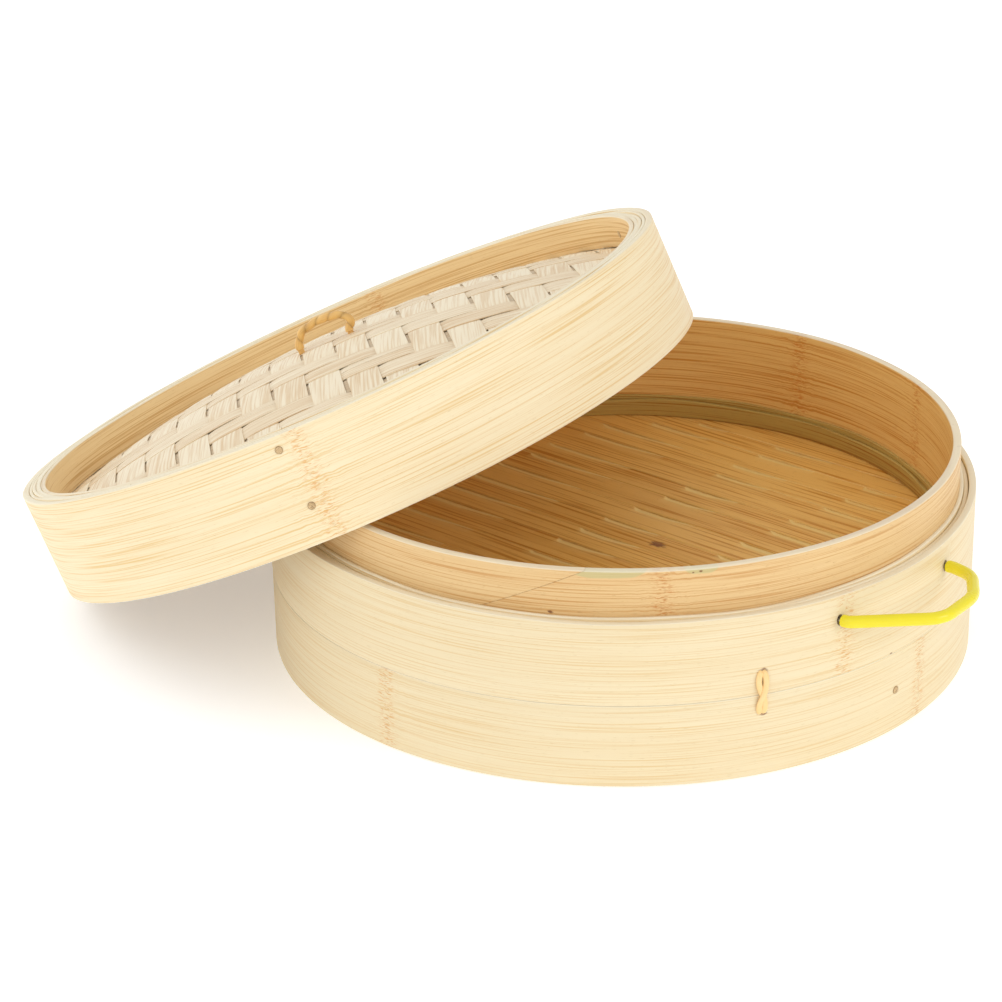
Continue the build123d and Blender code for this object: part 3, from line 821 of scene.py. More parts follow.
# ---------------------------------------------------------------- operators
class STEAMER_OT_outer_bands(bpy.types.Operator):
    """Bend the two outer bands and cut the openings for the handles"""

    bl_idname = "steamer.outer_bands"
    bl_label = "Outer bands"

    def execute(self, context):
        size, paint = sizes(), colours()
        outer, inner = size.band_radius, size.band_radius - size.band_thickness
        rise = HANDLE_LEVER * math.sin(math.radians(HANDLE_LIFT + HANDLE_SWING))
        drop = HANDLE_LEVER * math.sin(math.radians(HANDLE_SWING - HANDLE_LIFT))
        bore = size.wire_radius + 0.5 * MM
        stretch = 1 + (rise + drop) / 2 / bore
        slots = leg_places(size.handle_span / 2, size.band_thickness, (rise - drop) / 2)
        stitch_hole = STITCH_HEADING + 0.1
        # The two dark spots at the stitch's heading are painted shade in the stitch's holes.
        bands = (  # name, low, high, joint, knots, unevenness, seed, dark spots (heading, height, radius)
            ("upper", size.band_seam + BAND_SLIT, size.shoulder, 70, (303.0, 118.0), 0.35 * MM, 2,
             ((stitch_hole, 45.0, 1.7), (313.1, 35.4, 0.7))),
            ("lower", 0.0, size.band_seam, 100, (229.0, 320.6, 24.0), 0.0, 3, ((stitch_hole, 27.2, 1.7),)),
        )
        for name, low, high, joint, knots, uneven, seed, marks in bands:
            band = bent_strip(outer, inner, low, high, joint, rounding=0.3 * MM, uneven=uneven, seed=seed)
            if name == "upper":
                cut_with(band, [drill(place, bore, 12 * MM, stretch) for place in slots])
            spots = [(along_hoop(where, joint, outer), up * MM, radius * MM) for where, up, radius in marks]
            wood = bamboo(
                f"{name}_band_bamboo", times(paint.band_pale, 0.92), times(paint.band_streak, 0.92), 0.3,
                [along_hoop(knot, joint, outer) for knot in knots], spots=spots
            )
            finish_piece(band, f"{name}_band", wood, f"{name}_outer_band", "basket")
        return {"FINISHED"}


class STEAMER_OT_collar(bpy.types.Operator):
    """Bend the collar, with its long slanted joint"""

    bl_idname = "steamer.collar"
    bl_label = "Collar"

    def execute(self, context):
        size, paint = sizes(), colours()
        outer, inner, joint = collar_outside(), collar_inside(), 233.6
        collar = bent_strip(outer, inner, size.socket_depth, size.rim, joint, COLLAR_SLANT, uneven=0.12 * MM)

        def place(heading):
            return along_hoop(heading, joint, outer)

        skins = [
            (place(259.0), place(271.8), size.rim - 3.0 * MM),
            (place(277.0), place(283.0), size.rim - 2.6 * MM),
        ]
        knots = [place(274.0), place(18.9), place(51.3), place(150.0)]
        spots = [
            (place(256.6), 70.9 * MM, 0.9 * MM),
            (place(278.6), size.rim - 1.5 * MM, 0.45 * MM),
            (place(279.8), size.rim - 1.3 * MM, 0.55 * MM),
        ]
        wood = bamboo(
            "collar_bamboo", paint.collar_pale, paint.collar_streak, 0.45, knots, skins, spots, fleck=0.5
        )
        finish_piece(collar, "collar", wood, "collar_band", "basket")
        steamed = bamboo("collar_inside", paint.inner_pale, paint.inner_streak, 0.6, knots)
        collar.data.materials.append(steamed)
        for face in collar.data.polygons:
            if math.hypot(face.center.x, face.center.y) < inner + 0.3 * MM:
                face.material_index = 1
        return {"FINISHED"}


class STEAMER_OT_wall_strips(bpy.types.Operator):
    """Bend the strips between collar and bands, and the strip round the socket"""

    bl_idname = "steamer.wall_strips"
    bl_label = "Wall strips"

    def execute(self, context):
        size, paint = sizes(), colours()
        low, shoulder = size.socket_depth, size.shoulder
        band_inside = size.band_radius - size.band_thickness
        middle = band_inside - size.strip_thickness
        strips = (  # name, outer, inner, high, joint, seed
            ("outer", band_inside - 0.15 * MM, middle, shoulder - 0.9 * MM, 200, 4),
            ("inner", middle - STRIP_GAP, collar_outside() + TOUCH, shoulder + 0.1 * MM, 160, 9),
        )
        for name, outer, inner, high, joint, seed in strips:
            strip = bent_strip(outer, inner, low, high, joint, uneven=0.5 * MM, seed=seed)
            cut_with(strip, handle_pockets())
            wood = bamboo(f"{name}_strip_bamboo", paint.band_pale, paint.band_streak, 0.5)
            node = f"{name}_filler_strip"
            finish_piece(strip, f"{name}_wall_strip", wood, node, "basket")
        foot = bent_strip(band_inside - 0.1 * MM, socket_wall(), 0, size.socket_depth, 20)
        wood = bamboo("foot_bamboo", paint.collar_pale, paint.collar_streak, 0.5)
        finish_piece(foot, "foot_hoop", wood, "foot_strip", "basket")
        return {"FINISHED"}


def handle_pockets():
    """Cutters for the room that the handles' legs and tails turn in."""
    width, depth, _ = POCKET
    places = leg_places(sizes().handle_span / 2 - width / 2 + LEG_ROOM, depth / 2 - LEG_ROOM)
    return [chisel(place, *POCKET) for place in places]


class STEAMER_OT_slats(bpy.types.Operator):
    """Split the floor slats and scoop their steam notches"""

    bl_idname = "steamer.slats"
    bl_label = "Floor slats"

    def execute(self, context):
        paint = colours()
        floor_radius = collar_inside() - FLOOR_PLAY
        share = 2 * floor_radius / sum(SLAT_WIDTHS)
        turn = Matrix.Rotation(SLAT_HEADING, 4, "Z")
        high = floor_radius
        draw = random.Random(7)
        look = {"roughness": 0.45, "fleck": 0.5, "gloss": 0.3, "fresh_wood": paint.cut_wood_and_painted_light, "coarse": 2.6}
        spots = [(GRAIN_START + 19 * MM, 2 * MM, 3.4 * MM)]
        plain = bamboo("slat_bamboo", paint.floor_pale, paint.floor_streak, 0.7, **look)
        knotty = bamboo("knotty_slat_bamboo", paint.floor_pale, paint.floor_streak, 0.7, spots=spots, **look)
        for index, width in enumerate(SLAT_WIDTHS, start=1):
            low = high - width * share
            slat = split_slat(low + SLAT_GAP, high - SLAT_GAP, floor_radius, draw)
            wood = knotty if index == KNOTTY_SLAT else plain
            name = f"slat_{index:02d}"
            finish_piece(slat, name, wood, f"floor_{name}", "basket", turn, 20)
            high = low
        return {"FINISHED"}


def scoop_spans(far, floor_radius):
    """Where the steam scoops start and stop along a slat."""
    drift = math.tan(BAR_SKEW) * far
    reach = math.sqrt(max(floor_radius**2 - far**2, 0)) - WHOLE_END
    near, away = SIDE_SCOOP
    spans = (
        (drift - MIDDLE_SCOOP, drift + MIDDLE_SCOOP),
        (drift + near, min(drift + away, reach)),
        (max(drift - away, -reach), drift - near),
    )
    return [
        (start, stop) for start, stop in spans
        if start >= -reach and stop <= reach and stop - start > SHORT_SCOOP
    ]


def dip_share(grid, far, width):
    """How far across its scoop each vertex lies, from 0 at the arris to 1 at the slat's edge."""
    return np.clip((grid[:, 1] - far + width) / np.maximum(width, 0.1 * MM), 0, 1)


def split_slat(near, far, floor_radius, draw):
    """One slat along X between two edges, with rounded arrises and scooped far edge."""
    size = sizes()
    spans = scoop_spans(far, floor_radius)
    shifts = [(draw.uniform(-2, 2) * MM, draw.uniform(-2, 2) * MM, draw.uniform(0.8, 1.15)) for _ in spans]
    tint, swell, phase = draw.uniform(-0.45, 0.3), draw.uniform(0.1, 0.35) * MM, draw.uniform(0, TURN)
    rows = max(40, int(2 * math.sqrt(floor_radius**2 - min(abs(near), abs(far)) ** 2) / (1.5 * MM)))

    def scoop(along):
        """Width of the scoop at places along the slat: blunt at one end, fading at the other."""
        width = np.zeros_like(along)
        for (start, stop), (start_shift, stop_shift, scale) in zip(spans, shifts):
            t = (along - start - start_shift) / (stop + stop_shift - start - start_shift)
            body = np.clip(t / 0.07, 0, 1) ** 0.5 * np.clip((1 - t) / 0.55, 0, 1) ** 0.8
            width = np.maximum(width, np.where((t > 0) & (t < 1), body, 0) * size.scoop_width * scale)
        return width

    def place(u, v):
        column = np.rint(u * SLAT_COLUMNS).astype(int)
        half = np.sqrt(np.maximum(floor_radius**2 - (near + (far - near) * u) ** 2, 4e-6))
        along = (2 * v - 1) * half
        width = scoop(along)
        arris = far - np.maximum(width, ARRIS)
        across = np.select(
            [column == index for index in range(SLAT_COLUMNS)],
            [
                np.full_like(u, near),
                np.full_like(u, near + ARRIS),
                near + (arris - near) * 0.35,
                near + (arris - near) * 0.7,
                arris,
                arris + (far - arris) * 0.3,
                arris + (far - arris) * 0.65,
            ],
            far,
        )
        limit = np.sqrt(np.maximum(floor_radius**2 - across**2, 1e-6))
        along = np.clip(along, -limit, limit)
        depth = np.where(column == 0, 0.3 * MM, 0.0)
        dip = np.clip((across - arris) / np.maximum(far - arris, 1e-6), 0, 1)
        deepest = np.maximum(0.3 * MM, size.scoop_depth * np.clip(width / size.scoop_width, 0, 1))
        depth = depth + np.where(column > ARRIS_COLUMN, deepest * dip**0.8, 0)
        uneven = swell * (0.5 + 0.5 * np.sin(along * 40 + phase)) * (column <= ARRIS_COLUMN)
        return np.column_stack((along, across, size.floor_top - depth - uneven))

    slat = laid_grid(SLAT_COLUMNS, rows, place)
    grid = vertices(slat)
    width = scoop(grid[:, 0])
    inside = (grid[:, 1] > far - width - 0.05 * MM) & (width > 0.7 * MM)
    # Pale split wood on the near side wall, made paler as painted light in the shaded gap between slats.
    near_wall_cut_and_painted_light = np.clip(1 - (grid[:, 1] - near) / (0.3 * MM), 0, 1) * 0.7
    # Pale cut wood across the scoop, brightest just past the arris as a painted highlight line.
    cut_face_and_painted_light = np.interp(dip_share(grid, far, width), (0.0, 0.3, 0.65, 1.0), (0.3, 1.0, 0.9, 0.8))
    carry(slat, "cut", np.where(inside, cut_face_and_painted_light, near_wall_cut_and_painted_light))
    carry(slat, "grain", grid + (GRAIN_START, 0, 0))
    carry(slat, "tint", np.full(len(grid), tint))
    with editing():
        bpy.ops.mesh.extrude_region_move(TRANSFORM_OT_translate={"value": (0, 0, -size.slat_thickness)})
    grid = vertices(slat)
    picked = np.zeros(len(grid), bool)
    slat.data.vertices.foreach_get("select", picked)
    grid[picked, 2] = size.floor_top - size.slat_thickness
    put_vertices(slat, grid)
    cut = np.empty(len(grid))
    slat.data.attributes["cut"].data.foreach_get("value", cut)
    # The foot of the near side wall is fully pale: painted light in the gap between slats.
    cut[picked & (grid[:, 1] < near + 0.3 * MM)] = 1.0
    slat.data.attributes["cut"].data.foreach_set("value", cut)
    outward()
    return slat


class STEAMER_OT_floor_frame(bpy.types.Operator):
    """Make the ledge ring and the cross bars under the slats"""

    bl_idname = "steamer.floor_frame"
    bl_label = "Floor frame"

    def execute(self, context):
        size, paint = sizes(), colours()
        wood = bamboo("ledge_bamboo", paint.inner_pale, paint.inner_streak, 0.6)
        under = size.floor_top - size.slat_thickness
        outer = collar_inside()
        ledge = bent_strip(
            outer - TOUCH, outer - LEDGE_WIDTH, under - LEDGE_HEIGHT, under - TOUCH, 40
        )
        cut_with(ledge, [cross_bar(side, 0.1 * MM) for side in (-1, 1)])
        finish_piece(ledge, "ledge_ring", wood, "floor_ledge_ring", "basket")
        for index, side in enumerate((-1, 1), start=1):
            bar = cross_bar(side, 0.0)
            apply_modifier(bar, "BEVEL", width=0.5 * MM, segments=2)
            x, y, z = vertices(bar).T
            carry(bar, "grain", np.column_stack((y + 0.2 * index, x + z, z)))
            name = f"cross_bar_{index}"
            finish_piece(bar, name, wood, f"floor_{name}", "basket")
        return {"FINISHED"}


def cross_bar(side, spare):
    """A bar under the slats that ends short of the floor's round edge, larger by the spare on each face."""
    size = sizes()
    level = size.floor_top - size.slat_thickness - BAR_HEIGHT / 2 - TOUCH
    half = math.sqrt((collar_inside() - FLOOR_PLAY) ** 2 - (BAR_OFFSET + BAR_WIDTH / 2) ** 2)
    turn = Matrix.Rotation(SLAT_HEADING - BAR_SKEW, 4, "Z")
    place = turn @ Matrix.Translation((side * BAR_OFFSET, 0, level))
    return chisel(place, BAR_WIDTH + 2 * spare, 2 * (half + spare), BAR_HEIGHT + 2 * spare)


class STEAMER_OT_laths(bpy.types.Operator):
    """Bend the two greenish laths that hold the slats down"""

    bl_idname = "steamer.laths"
    bl_label = "Retaining laths"

    def execute(self, context):
        size, paint = sizes(), colours()
        reach = collar_inside() - 0.05 * MM
        laths = (("outer", 9.5 * MM, 350, 5), ("inner", 7.5 * MM, 190, 11))
        for name, height, joint, seed in laths:
            inner = reach - size.lath_thickness
            low = size.floor_top + 0.05 * MM
            lath = bent_strip(
                reach, inner, low, low + height, joint, uneven=0.7 * MM, seed=seed, rounding=0.4 * MM
            )
            wood = bamboo(
                f"{name}_lath_bamboo", paint.skin_green, times(paint.floor_streak, 0.6), 0.6, roughness=0.42,
                fresh_wood=times(paint.skin_green, 1.1)
            )
            node = f"{name}_retaining_strip"
            finish_piece(lath, f"{name}_lath", wood, node, "basket")
            reach = inner - 0.08 * MM
        return {"FINISHED"}


def peg(place, radius, start, stop):
    """A round bamboo peg along a place's Y axis, with a worn head."""
    start_clean()
    bpy.ops.mesh.primitive_cylinder_add(vertices=28, radius=radius, depth=stop - start)
    pin = bpy.context.object
    apply_modifier(pin, "BEVEL", width=0.25 * MM, segments=2, limit_method="ANGLE")
    spot = vertices(pin)
    carry(pin, "grain", spot)
    pin.data.transform(Matrix.Translation((0, (start + stop) / 2, 0)) @ Matrix.Rotation(math.pi / 2, 4, "X"))
    pin.data.transform(place)
    return pin


class STEAMER_OT_basket_pegs(bpy.types.Operator):
    """Drive the pegs of the basket"""

    bl_idname = "steamer.basket_pegs"
    bl_label = "Basket pegs"

    def execute(self, context):
        size = sizes()
        wood = peg_finish()
        place, outside = radial_place(314.6, 17.8 * MM), size.band_radius + PEG_PROUD
        pin = peg(place, size.peg_radius, socket_wall(), outside)
        finish_piece(pin, "wall_pin", wood, "wall_peg", "basket")
        level = size.floor_top - size.slat_thickness - LEDGE_HEIGHT / 2
        start = collar_inside() - 4.5 * MM
        stop = collar_outside() + size.strip_thickness - 0.2 * MM
        heading = math.degrees(SLAT_HEADING)
        pins = [
            peg(radial_place(heading + 60 * turn, level), size.peg_radius, start, stop) for turn in range(6)
        ]
        finish_piece(joined(pins), "ledge_pins", wood, "ledge_pegs", "basket")
        return {"FINISHED"}


class STEAMER_OT_stitch(bpy.types.Operator):
    """Twist the rattan stitch over the seam of the outer bands"""

    bl_idname = "steamer.stitch"
    bl_label = "Rattan stitch"

    def execute(self, context):
        place = radial_place(STITCH_HEADING, 0, sizes().band_radius)
        strands = []
        for side in (-1, 1):
            points = []
            for step in range(STITCH_STEPS + 1):
                share = step / STITCH_STEPS
                swing = math.sin(math.pi * share) ** 0.45 * math.cos(math.pi * (0.06 + 0.98 * share))
                over = math.exp(-(((share - 0.46) / 0.2) ** 2))
                lift = 0.75 * math.sin(math.pi * share) ** 0.4 + (1.0 * over if side > 0 else 0.1 * over)
                if share in (0, 1):
                    lift = -1.5  # into the wall
                height = STITCH_LOW + (STITCH_HIGH - STITCH_LOW) * share
                points.append(((side * STITCH_SWING * swing + 0.3) * MM, lift * MM, height))
            strands.append(rod(points, 1.25 * MM, 20, 0.4 * MM, thin=0.62))
        stitch = joined(strands)
        cane = cane_finish("stitch_cane", colours().stitch, colours().cane)
        finish_piece(stitch, "stitch", cane, "rattan_stitch", "basket", place, 60)
        return {"FINISHED"}


def bail_corners(start):
    """Corners of a handle's legs and outer run."""
    half, reach = sizes().handle_span / 2, HANDLE_REACH
    return [
        (-half, start, 0),
        (-half, 9 * MM, 0),
        (-half * 0.91, reach * 0.55, 0),
        (-half * 0.4, reach * 0.91, 0),
        (half * 0.31, reach, 0),
        (half, 9 * MM, 0),
        (half, start, 0),
    ]


class STEAMER_OT_side_handles(bpy.types.Operator):
    """Bend the wire handles and pull on their plastic sleeves"""

    bl_idname = "steamer.side_handles"
    bl_label = "Side handles"

    def execute(self, context):
        size = sizes()
        steel, plastic = steel_finish(), sleeve_finish()
        bends = [radius * MM for radius in HANDLE_BENDS]
        tail = size.handle_span / 2 - WIRE_TAIL
        corners = [(-tail, 0, 0), *bail_corners(0), (tail, 0, 0)]
        wire_path = rounded_path(corners, [WIRE_BEND, *bends, WIRE_BEND])
        sleeve_path = rounded_path(bail_corners(SLEEVE_START), bends)
        for name, heading in HANDLES.items():
            place, body, bail = handle_place(heading, HANDLE_LIFT), f"{name}_handle", f"{name}_bail"
            wire = rod(wire_path, size.wire_radius, 14, side_axis=(0, 0, 1))
            finish_piece(wire, f"{bail}_wire", steel, f"{body}_wire", body, place, 60)
            sleeve = rod(sleeve_path, size.sleeve_radius, 32, closed_ends=False, side_axis=(0, 0, 1))
            thickness = size.sleeve_radius - size.wire_radius - 0.05 * MM
            apply_modifier(sleeve, "SOLIDIFY", thickness=thickness, offset=-1)
            apply_modifier(sleeve, "BEVEL", width=0.3 * MM, segments=3, limit_method="ANGLE", angle_limit=1.0)
            node = f"{body}_sleeve"
            finish_piece(sleeve, f"{bail}_sleeve", plastic, node, body, place, 50)
        return {"FINISHED"}


class STEAMER_OT_lid_hoops(bpy.types.Operator):
    """Bend the lid's wall, its liners and the ring under the mat"""

    bl_idname = "steamer.lid_hoops"
    bl_label = "Lid hoops"

    def execute(self, context):
        size, paint = sizes(), colours()
        place = lid_place()
        top, edge, gap = size.lid_height, size.mat_edge, STRIP_GAP
        outside, socket, inside = size.band_radius, socket_wall(), lid_inside()
        wall = outside - size.band_thickness
        between = (wall + socket) / 2
        liner = socket - size.liner_thickness
        ring, under_mat = size.lid_ring_low, edge - 2 * MAT_LAYER
        pair = (85.3, 200.0)
        hoops = (  # name, node, joint, outer, inner, low, high, tone, seed, unevenness in mm, knots
            ("band", "outer_band", 90, outside, wall, 0, top, "band", 2, 0.15, (265.9, 65.0)),
            ("wall_strip_outer", "outer_filler", 230, wall - gap, between, 0, top, "band", 3, 0.35, ()),
            ("wall_strip_inner", "inner_filler", 130, between - gap, socket, 0, top, "band", 4, 0.35, ()),
            ("liner_outer", "outer_liner", 300, socket - gap, liner, edge, top, "band", 5, 0.3, ()),
            ("liner_inner", "inner_liner", 262, liner - gap, inside, edge, top, "liner", 6, 0.25, pair),
            ("lower_hoop", "lower_ring", 10, socket - 0.1 * MM, inside, ring, under_mat, "liner", 7, 0.0, ()),
        )
        for name, node, joint, outer, inner, low, high, tone, seed, uneven, knots in hoops:
            swell = {"uneven": uneven * MM, "seed": seed}
            hoop = bent_strip(outer, inner, low, high, joint, rounding=0.45 * MM, **swell)
            marks = [along_hoop(heading, joint, outer) for heading in knots]
            contrast = 0.42 if tone == "band" else 0.6
            pale, streak = getattr(paint, f"{tone}_pale"), getattr(paint, f"{tone}_streak")
            wood = bamboo(f"lid_{name}_bamboo", pale, streak, contrast, marks)
            slot = "outer_bamboo" if name == "band" else "inner_bamboo"
            finish_piece(hoop, f"lid_{name}", wood, f"lid_{node}", "lid", place)
        return {"FINISHED"}


class STEAMER_OT_lid_pegs(bpy.types.Operator):
    """Drive the pegs of the lid"""

    bl_idname = "steamer.lid_pegs"
    bl_label = "Lid pegs"

    def execute(self, context):
        size = sizes()
        outside, liner = size.band_radius + PEG_PROUD, lid_inside() - 0.1 * MM
        places = ((262.8, 40.8, liner), (16.8, 38.4, liner), (263.8, 15.5, socket_wall()))
        pins = [
            peg(radial_place(heading, level * MM), size.peg_radius, start, outside)
            for heading, level, start in places
        ]
        finish_piece(joined(pins), "lid_pins", peg_finish(), "lid_pegs", "lid", lid_place())
        return {"FINISHED"}


Layer = namedtuple("Layer", "reach drop amount spacing")  # one mat's radius, depth, waviness and fineness


def warp_drift(along):
    """How far the warp has leaned sideways at places along it."""
    return WARP_LEAN * (along + 10 * MM)


def twill(warp, weft):
    """1 where a warp strip passes over a weft strip, and -1 where it passes under."""
    return np.where(np.mod(weft - warp, 4) < 2, 1.0, -1.0)


def eased(share):
    """A smooth step about the middle of a crossing."""
    share = np.clip((share - 0.5) / 0.62 + 0.5, 0, 1)
    return share * share * (3 - 2 * share)


def weave_lift(number, place, is_warp):
    """How far a strip is above the mat's middle, from -1 to 1, at places along it."""
    index = np.floor(place)
    share = eased(place - index)
    if is_warp:
        here, there = twill(number, index), twill(number, index + 1)
    else:
        here, there = -twill(index, number), -twill(index + 1, number)
    return here + (there - here) * share


def woven_layer(layer, splits, seed, turn=0.0):
    """One layer of strips woven over two and under two, on the dome."""
    size = sizes()
    draw = random.Random(seed)
    strips = []
    for is_warp in (True, False):
        pitch = size.warp_pitch if is_warp else size.weft_pitch
        count = int(layer.reach / pitch) + 2
        for number in range(-count, count + 1):
            centre = WARP_START + pitch * number if is_warp else WEFT_START - pitch * number
            cuts = 1 if is_warp else draw.choice(splits)
            edges = [-1.0]
            for cut in range(cuts - 1):
                edges.append(-1 + 2 * (cut + 1 + draw.uniform(-0.2, 0.2)) / cuts)
            edges.append(1.0)
            half = pitch / 2 - draw.uniform(0.45, 0.9) * MM
            tone = draw.uniform(-0.16, 0.16) + (0.0 if is_warp else 0.2)
            for left, right in zip(edges, edges[1:]):
                low = centre + half * left + (SLIVER_GAP if left > -1 else 0)
                high = centre + half * right - (SLIVER_GAP if right < 1 else 0)
                strip = woven_strip(layer, is_warp, number, low, high, centre, half, tone, draw)
                if strip is not None:
                    strips.append(strip)
    mat = joined(strips)
    apply_modifier(mat, "SOLIDIFY", thickness=size.strip_gauge, offset=0)
    mat.data.transform(Matrix.Rotation(turn, 4, "Z"))
    return mat


def woven_strip(layer, is_warp, number, low, high, centre, half, tone, draw):
    """One strip, or one sliver of it, from edge to edge of the lid."""
    size, reach = sizes(), layer.reach
    nearest = 0.0 if low < 0 < high else min(abs(low), abs(high))
    if nearest > reach - 4 * MM or max(abs(low), abs(high)) > reach - 0.5 * MM:
        return None
    span = math.sqrt(reach**2 - nearest**2)
    rows = max(6, int(2 * span / layer.spacing))
    wander = draw.uniform(0, TURN)
    tilt = draw.uniform(-0.12, 0.12) * MM
    lift = None

    def place(u, v):
        nonlocal lift
        across = low + (high - low) * u
        limit = np.sqrt(np.maximum(reach**2 - across**2, 1e-6))
        along = (2 * v - 1) * limit
        across = across + 0.25 * MM * np.sin(along * 45 + wander)
        middle = (across - centre) / half
        if is_warp:
            x, y = across + warp_drift(along), along
            crossing = (WEFT_START - y) / size.weft_pitch
        else:
            x, y = along, across
            crossing = (x - WARP_START - warp_drift(y)) / size.warp_pitch
        away = np.hypot(x, y)
        squeeze = np.minimum(1, (reach - 0.3 * MM) / np.maximum(away, 1e-6))
        x, y = x * squeeze, y * squeeze
        lift = weave_lift(number, crossing, is_warp)
        crown = 0.22 * MM * (1 - np.clip(middle, -1, 1) ** 2) - 0.11 * MM
        clamp = np.clip((reach - np.hypot(x, y)) / (7 * MM), 0.25, 1)
        dome = np.array([dome_height(r) for r in np.hypot(x, y)])
        z = dome - layer.drop + (layer.amount * lift + crown + tilt * (u - 0.5)) * clamp
        return np.column_stack((x, y, z))

    strip = laid_grid(3 if high - low > 5 * MM else 2, rows, place)
    grid = vertices(strip)
    along, across = (grid[:, 1], grid[:, 0]) if is_warp else (grid[:, 0], grid[:, 1])
    shift = number * 0.31 + (0.0 if is_warp else 7.3)
    carry(strip, "grain", np.column_stack((along + shift, across, np.zeros(len(grid)))))
    carry(strip, "tint", np.full(len(grid), tone + draw.uniform(-0.06, 0.06)))
    # Painted shade mask: highest where the strip dips under a crossing strip.
    carry(strip, "cut", np.clip(0.15 - lift, 0, 1))
    return strip


class STEAMER_OT_mats(bpy.types.Operator):
    """Weave the mat and its lining"""

    bl_idname = "steamer.mats"
    bl_label = "Woven mats"

    def execute(self, context):
        paint = colours()
        place = lid_place()
        reach = socket_wall() - 0.4 * MM
        mat = woven_layer(Layer(reach, 0.62 * MM, 0.42 * MM, 2.6 * MM), (1, 1, 2), 3)
        wood = woven_finish("weave_bamboo", paint.weave_cream, paint.weave_shade)
        finish_piece(mat, "mat_weave", wood, "woven_mat", "lid", place, 50)
        lining = woven_layer(Layer(reach, 1.85 * MM, 0.25 * MM, 5.0 * MM), (1,), 5, math.pi / 2)
        wood = woven_finish("lining_bamboo", times(paint.weave_cream, 0.85), times(paint.weave_shade, 0.8))
        finish_piece(lining, "mat_lining", wood, "lining_mat", "lid", place, 50)
        return {"FINISHED"}


class STEAMER_OT_loop(bpy.types.Operator):
    """Bend the rattan loop and wind its skin"""

    bl_idname = "steamer.loop"
    bl_label = "Rattan loop"

    def execute(self, context):
        place = loop_place(lid_place())
        foot, drop, tail = LOOP_FOOT, -4 * MM, 6 * MM
        arch = [
            (-foot, 0, 4.2 * MM), (-foot * 0.72, 0, 9.7 * MM), (0, 0, 11.7 * MM), (foot * 0.76, 0, 11.2 * MM),
            (foot * 1.36, 0, 7.4 * MM), (foot, 0, 3.6 * MM),
        ]
        bends = [r * MM for r in (5, 6, 12, 8, 2.9, 2.4)]
        ends = [(-foot + tail, 0, drop), (-foot, 0, drop)], [(foot, 0, drop), (foot - tail, 0, drop)]
        core = rod(rounded_path([*ends[0], *arch, *ends[1]], [2 * MM, *bends, 2 * MM]), 1.4 * MM, 16)
        cane = cane_finish("rattan_cane", colours().cane, colours().cane_shade)
        finish_piece(core, "loop_core_cane", cane, "loop_core", "loop", place, 60)
        path = rounded_path([(-foot, 0, 2.6 * MM), *arch, (foot, 0, 2.4 * MM)], bends)

        def winding(along, turn):
            phase = np.mod(along / LOOP_LAY - turn / TURN + 0.03 * np.sin(along * 900), 1.0)
            round_back = np.sin(np.pi * phase) ** 0.28
            return 0.66 + 0.36 * round_back + 0.05 * np.sin(along * 330 + 1)

        wrap = rod(path, 1.85 * MM, 28, 0.3 * MM, winding)
        finish_piece(wrap, "loop_wrap_cane", cane, "loop_wrap", "loop", place, 60)
        return {"FINISHED"}


class STEAMER_OT_stage(bpy.types.Operator):
    """Lay the pale floor, hang the soft lights and set up the camera"""

    bl_idname = "steamer.stage"
    bl_label = "Stage"

    def execute(self, context):
        start_clean()
        scene = bpy.context.scene
        scene.view_settings.view_transform = "Standard"
        bpy.ops.mesh.primitive_plane_add(size=GROUND_SIZE, location=(0, 0, -0.6 * MM))
        ground = bpy.context.object
        ground.name = "pale_floor"
        finish = Finish("pale_paper")
        where = Wire(finish, finish.tree.nodes.new("ShaderNodeTexCoord").outputs["Object"])
        cloud = finish.noise(where, 0.4, 0.4, 0.4)
        tone = finish.mix(cloud, PAPER_PALE, PAPER_SHADE)
        paper = finish.done(
            tone, cloud * 0.1 + 0.8, cloud, 0.0002, 0.1, Emission_Color=(1, 1, 1, 1), Emission_Strength=0.3
        )
        ground.data.materials.append(paper)
        world = bpy.data.worlds.new("soft_white")
        scene.world = world
        world.use_nodes = True
        background = world.node_tree.nodes["Background"].inputs
        background["Color"].default_value = (1, 1, 1, 1)
        background["Strength"].default_value = WORLD_STRENGTH
        for name, spot, width, power in SOFTBOXES:
            bpy.ops.object.light_add(type="AREA", location=spot)
            light = bpy.context.object
            light.name = f"{name}_softbox"
            light.data.size = width
            light.data.energy = power
            light.rotation_euler = (SOFTBOX_AIM - Vector(spot)).to_track_quat("-Z", "Y").to_euler()
        place_camera(scene)
        return {"FINISHED"}


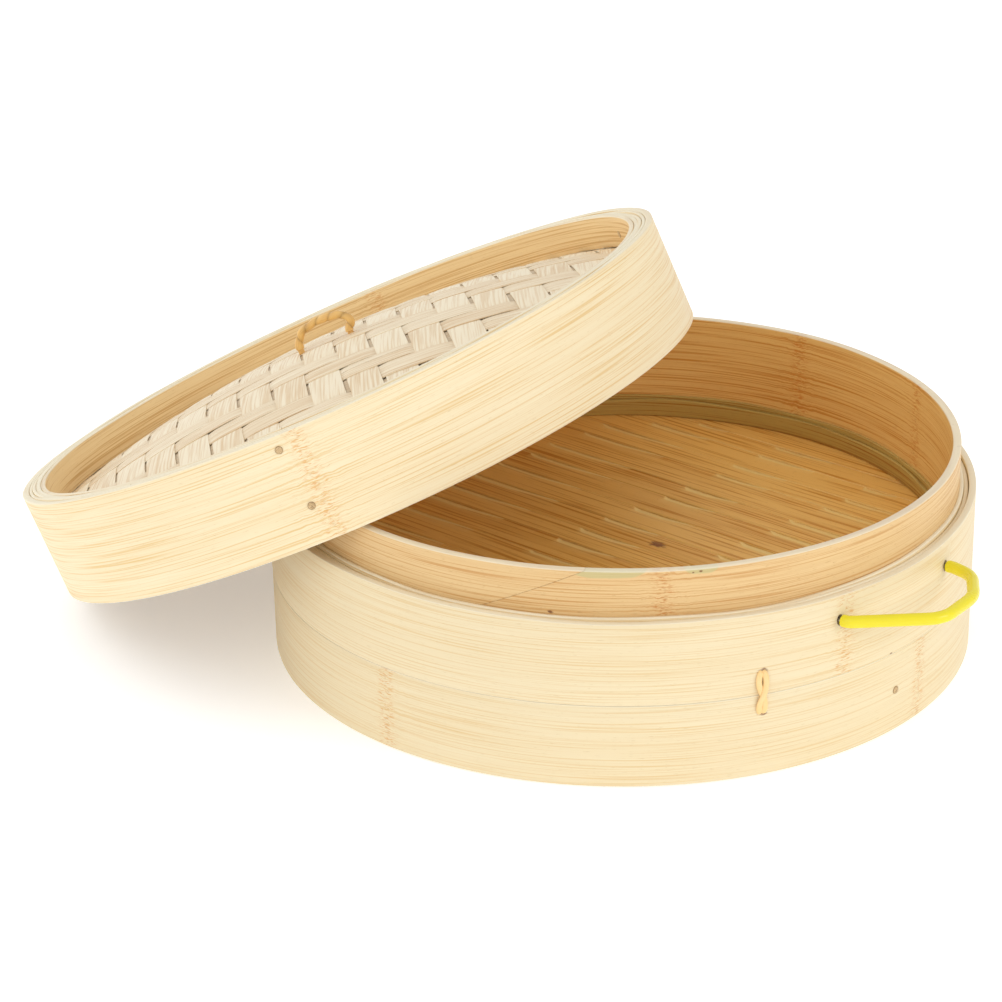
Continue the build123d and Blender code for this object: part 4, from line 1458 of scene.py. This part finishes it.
def place_camera(scene):
    """A long lens in front of the basket, a little above it, turned slightly."""
    right = Vector((1, 0, 0))
    ahead = Vector((0, math.cos(CAMERA_TILT), -math.sin(CAMERA_TILT)))
    down = ahead.cross(right)
    turned_right = right * math.cos(CAMERA_ROLL) - down * math.sin(CAMERA_ROLL)
    turned_down = right * math.sin(CAMERA_ROLL) + down * math.cos(CAMERA_ROLL)
    bpy.ops.object.camera_add(location=CAMERA_SPOT)
    camera = bpy.context.object
    axes = Matrix((turned_right, -turned_down, -ahead)).transposed()
    camera.rotation_euler = axes.to_euler()
    camera.data.lens = CAMERA_LENS
    camera.data.sensor_width = CAMERA_SENSOR
    camera.data.clip_start, camera.data.clip_end = 0.05, 20.0
    scene.camera = camera


OPERATORS = (
    STEAMER_OT_outer_bands,
    STEAMER_OT_collar,
    STEAMER_OT_wall_strips,
    STEAMER_OT_floor_frame,
    STEAMER_OT_slats,
    STEAMER_OT_laths,
    STEAMER_OT_basket_pegs,
    STEAMER_OT_stitch,
    STEAMER_OT_side_handles,
    STEAMER_OT_lid_hoops,
    STEAMER_OT_lid_pegs,
    STEAMER_OT_mats,
    STEAMER_OT_loop,
    STEAMER_OT_stage,
)


class STEAMER_PT_panel(bpy.types.Panel):
    """Sizes, colours and the pieces in the order they are made"""

    bl_idname = "STEAMER_PT_panel"
    bl_label = "Bamboo steamer"
    bl_space_type = "VIEW_3D"
    bl_region_type = "UI"
    bl_category = "Steamer"

    def draw(self, context):
        for group in (context.scene.steamer_sizes, context.scene.steamer_colours):
            box = self.layout.box()
            for name in group.__annotations__:
                box.prop(group, name)
        for operator in OPERATORS:
            self.layout.operator(operator.bl_idname)


CLASSES = (SteamerSizes, SteamerColours, *OPERATORS, STEAMER_PT_panel)


def register():
    for item in CLASSES:
        bpy.utils.register_class(item)
    bpy.types.Scene.steamer_sizes = PointerProperty(type=SteamerSizes)
    bpy.types.Scene.steamer_colours = PointerProperty(type=SteamerColours)


def unregister():
    del bpy.types.Scene.steamer_colours
    del bpy.types.Scene.steamer_sizes
    for item in reversed(CLASSES):
        bpy.utils.unregister_class(item)


def main():
    register()
    for operator in OPERATORS:
        group, name = operator.bl_idname.split(".")
        getattr(getattr(bpy.ops, group), name)()


if __name__ == "__main__":
    main()
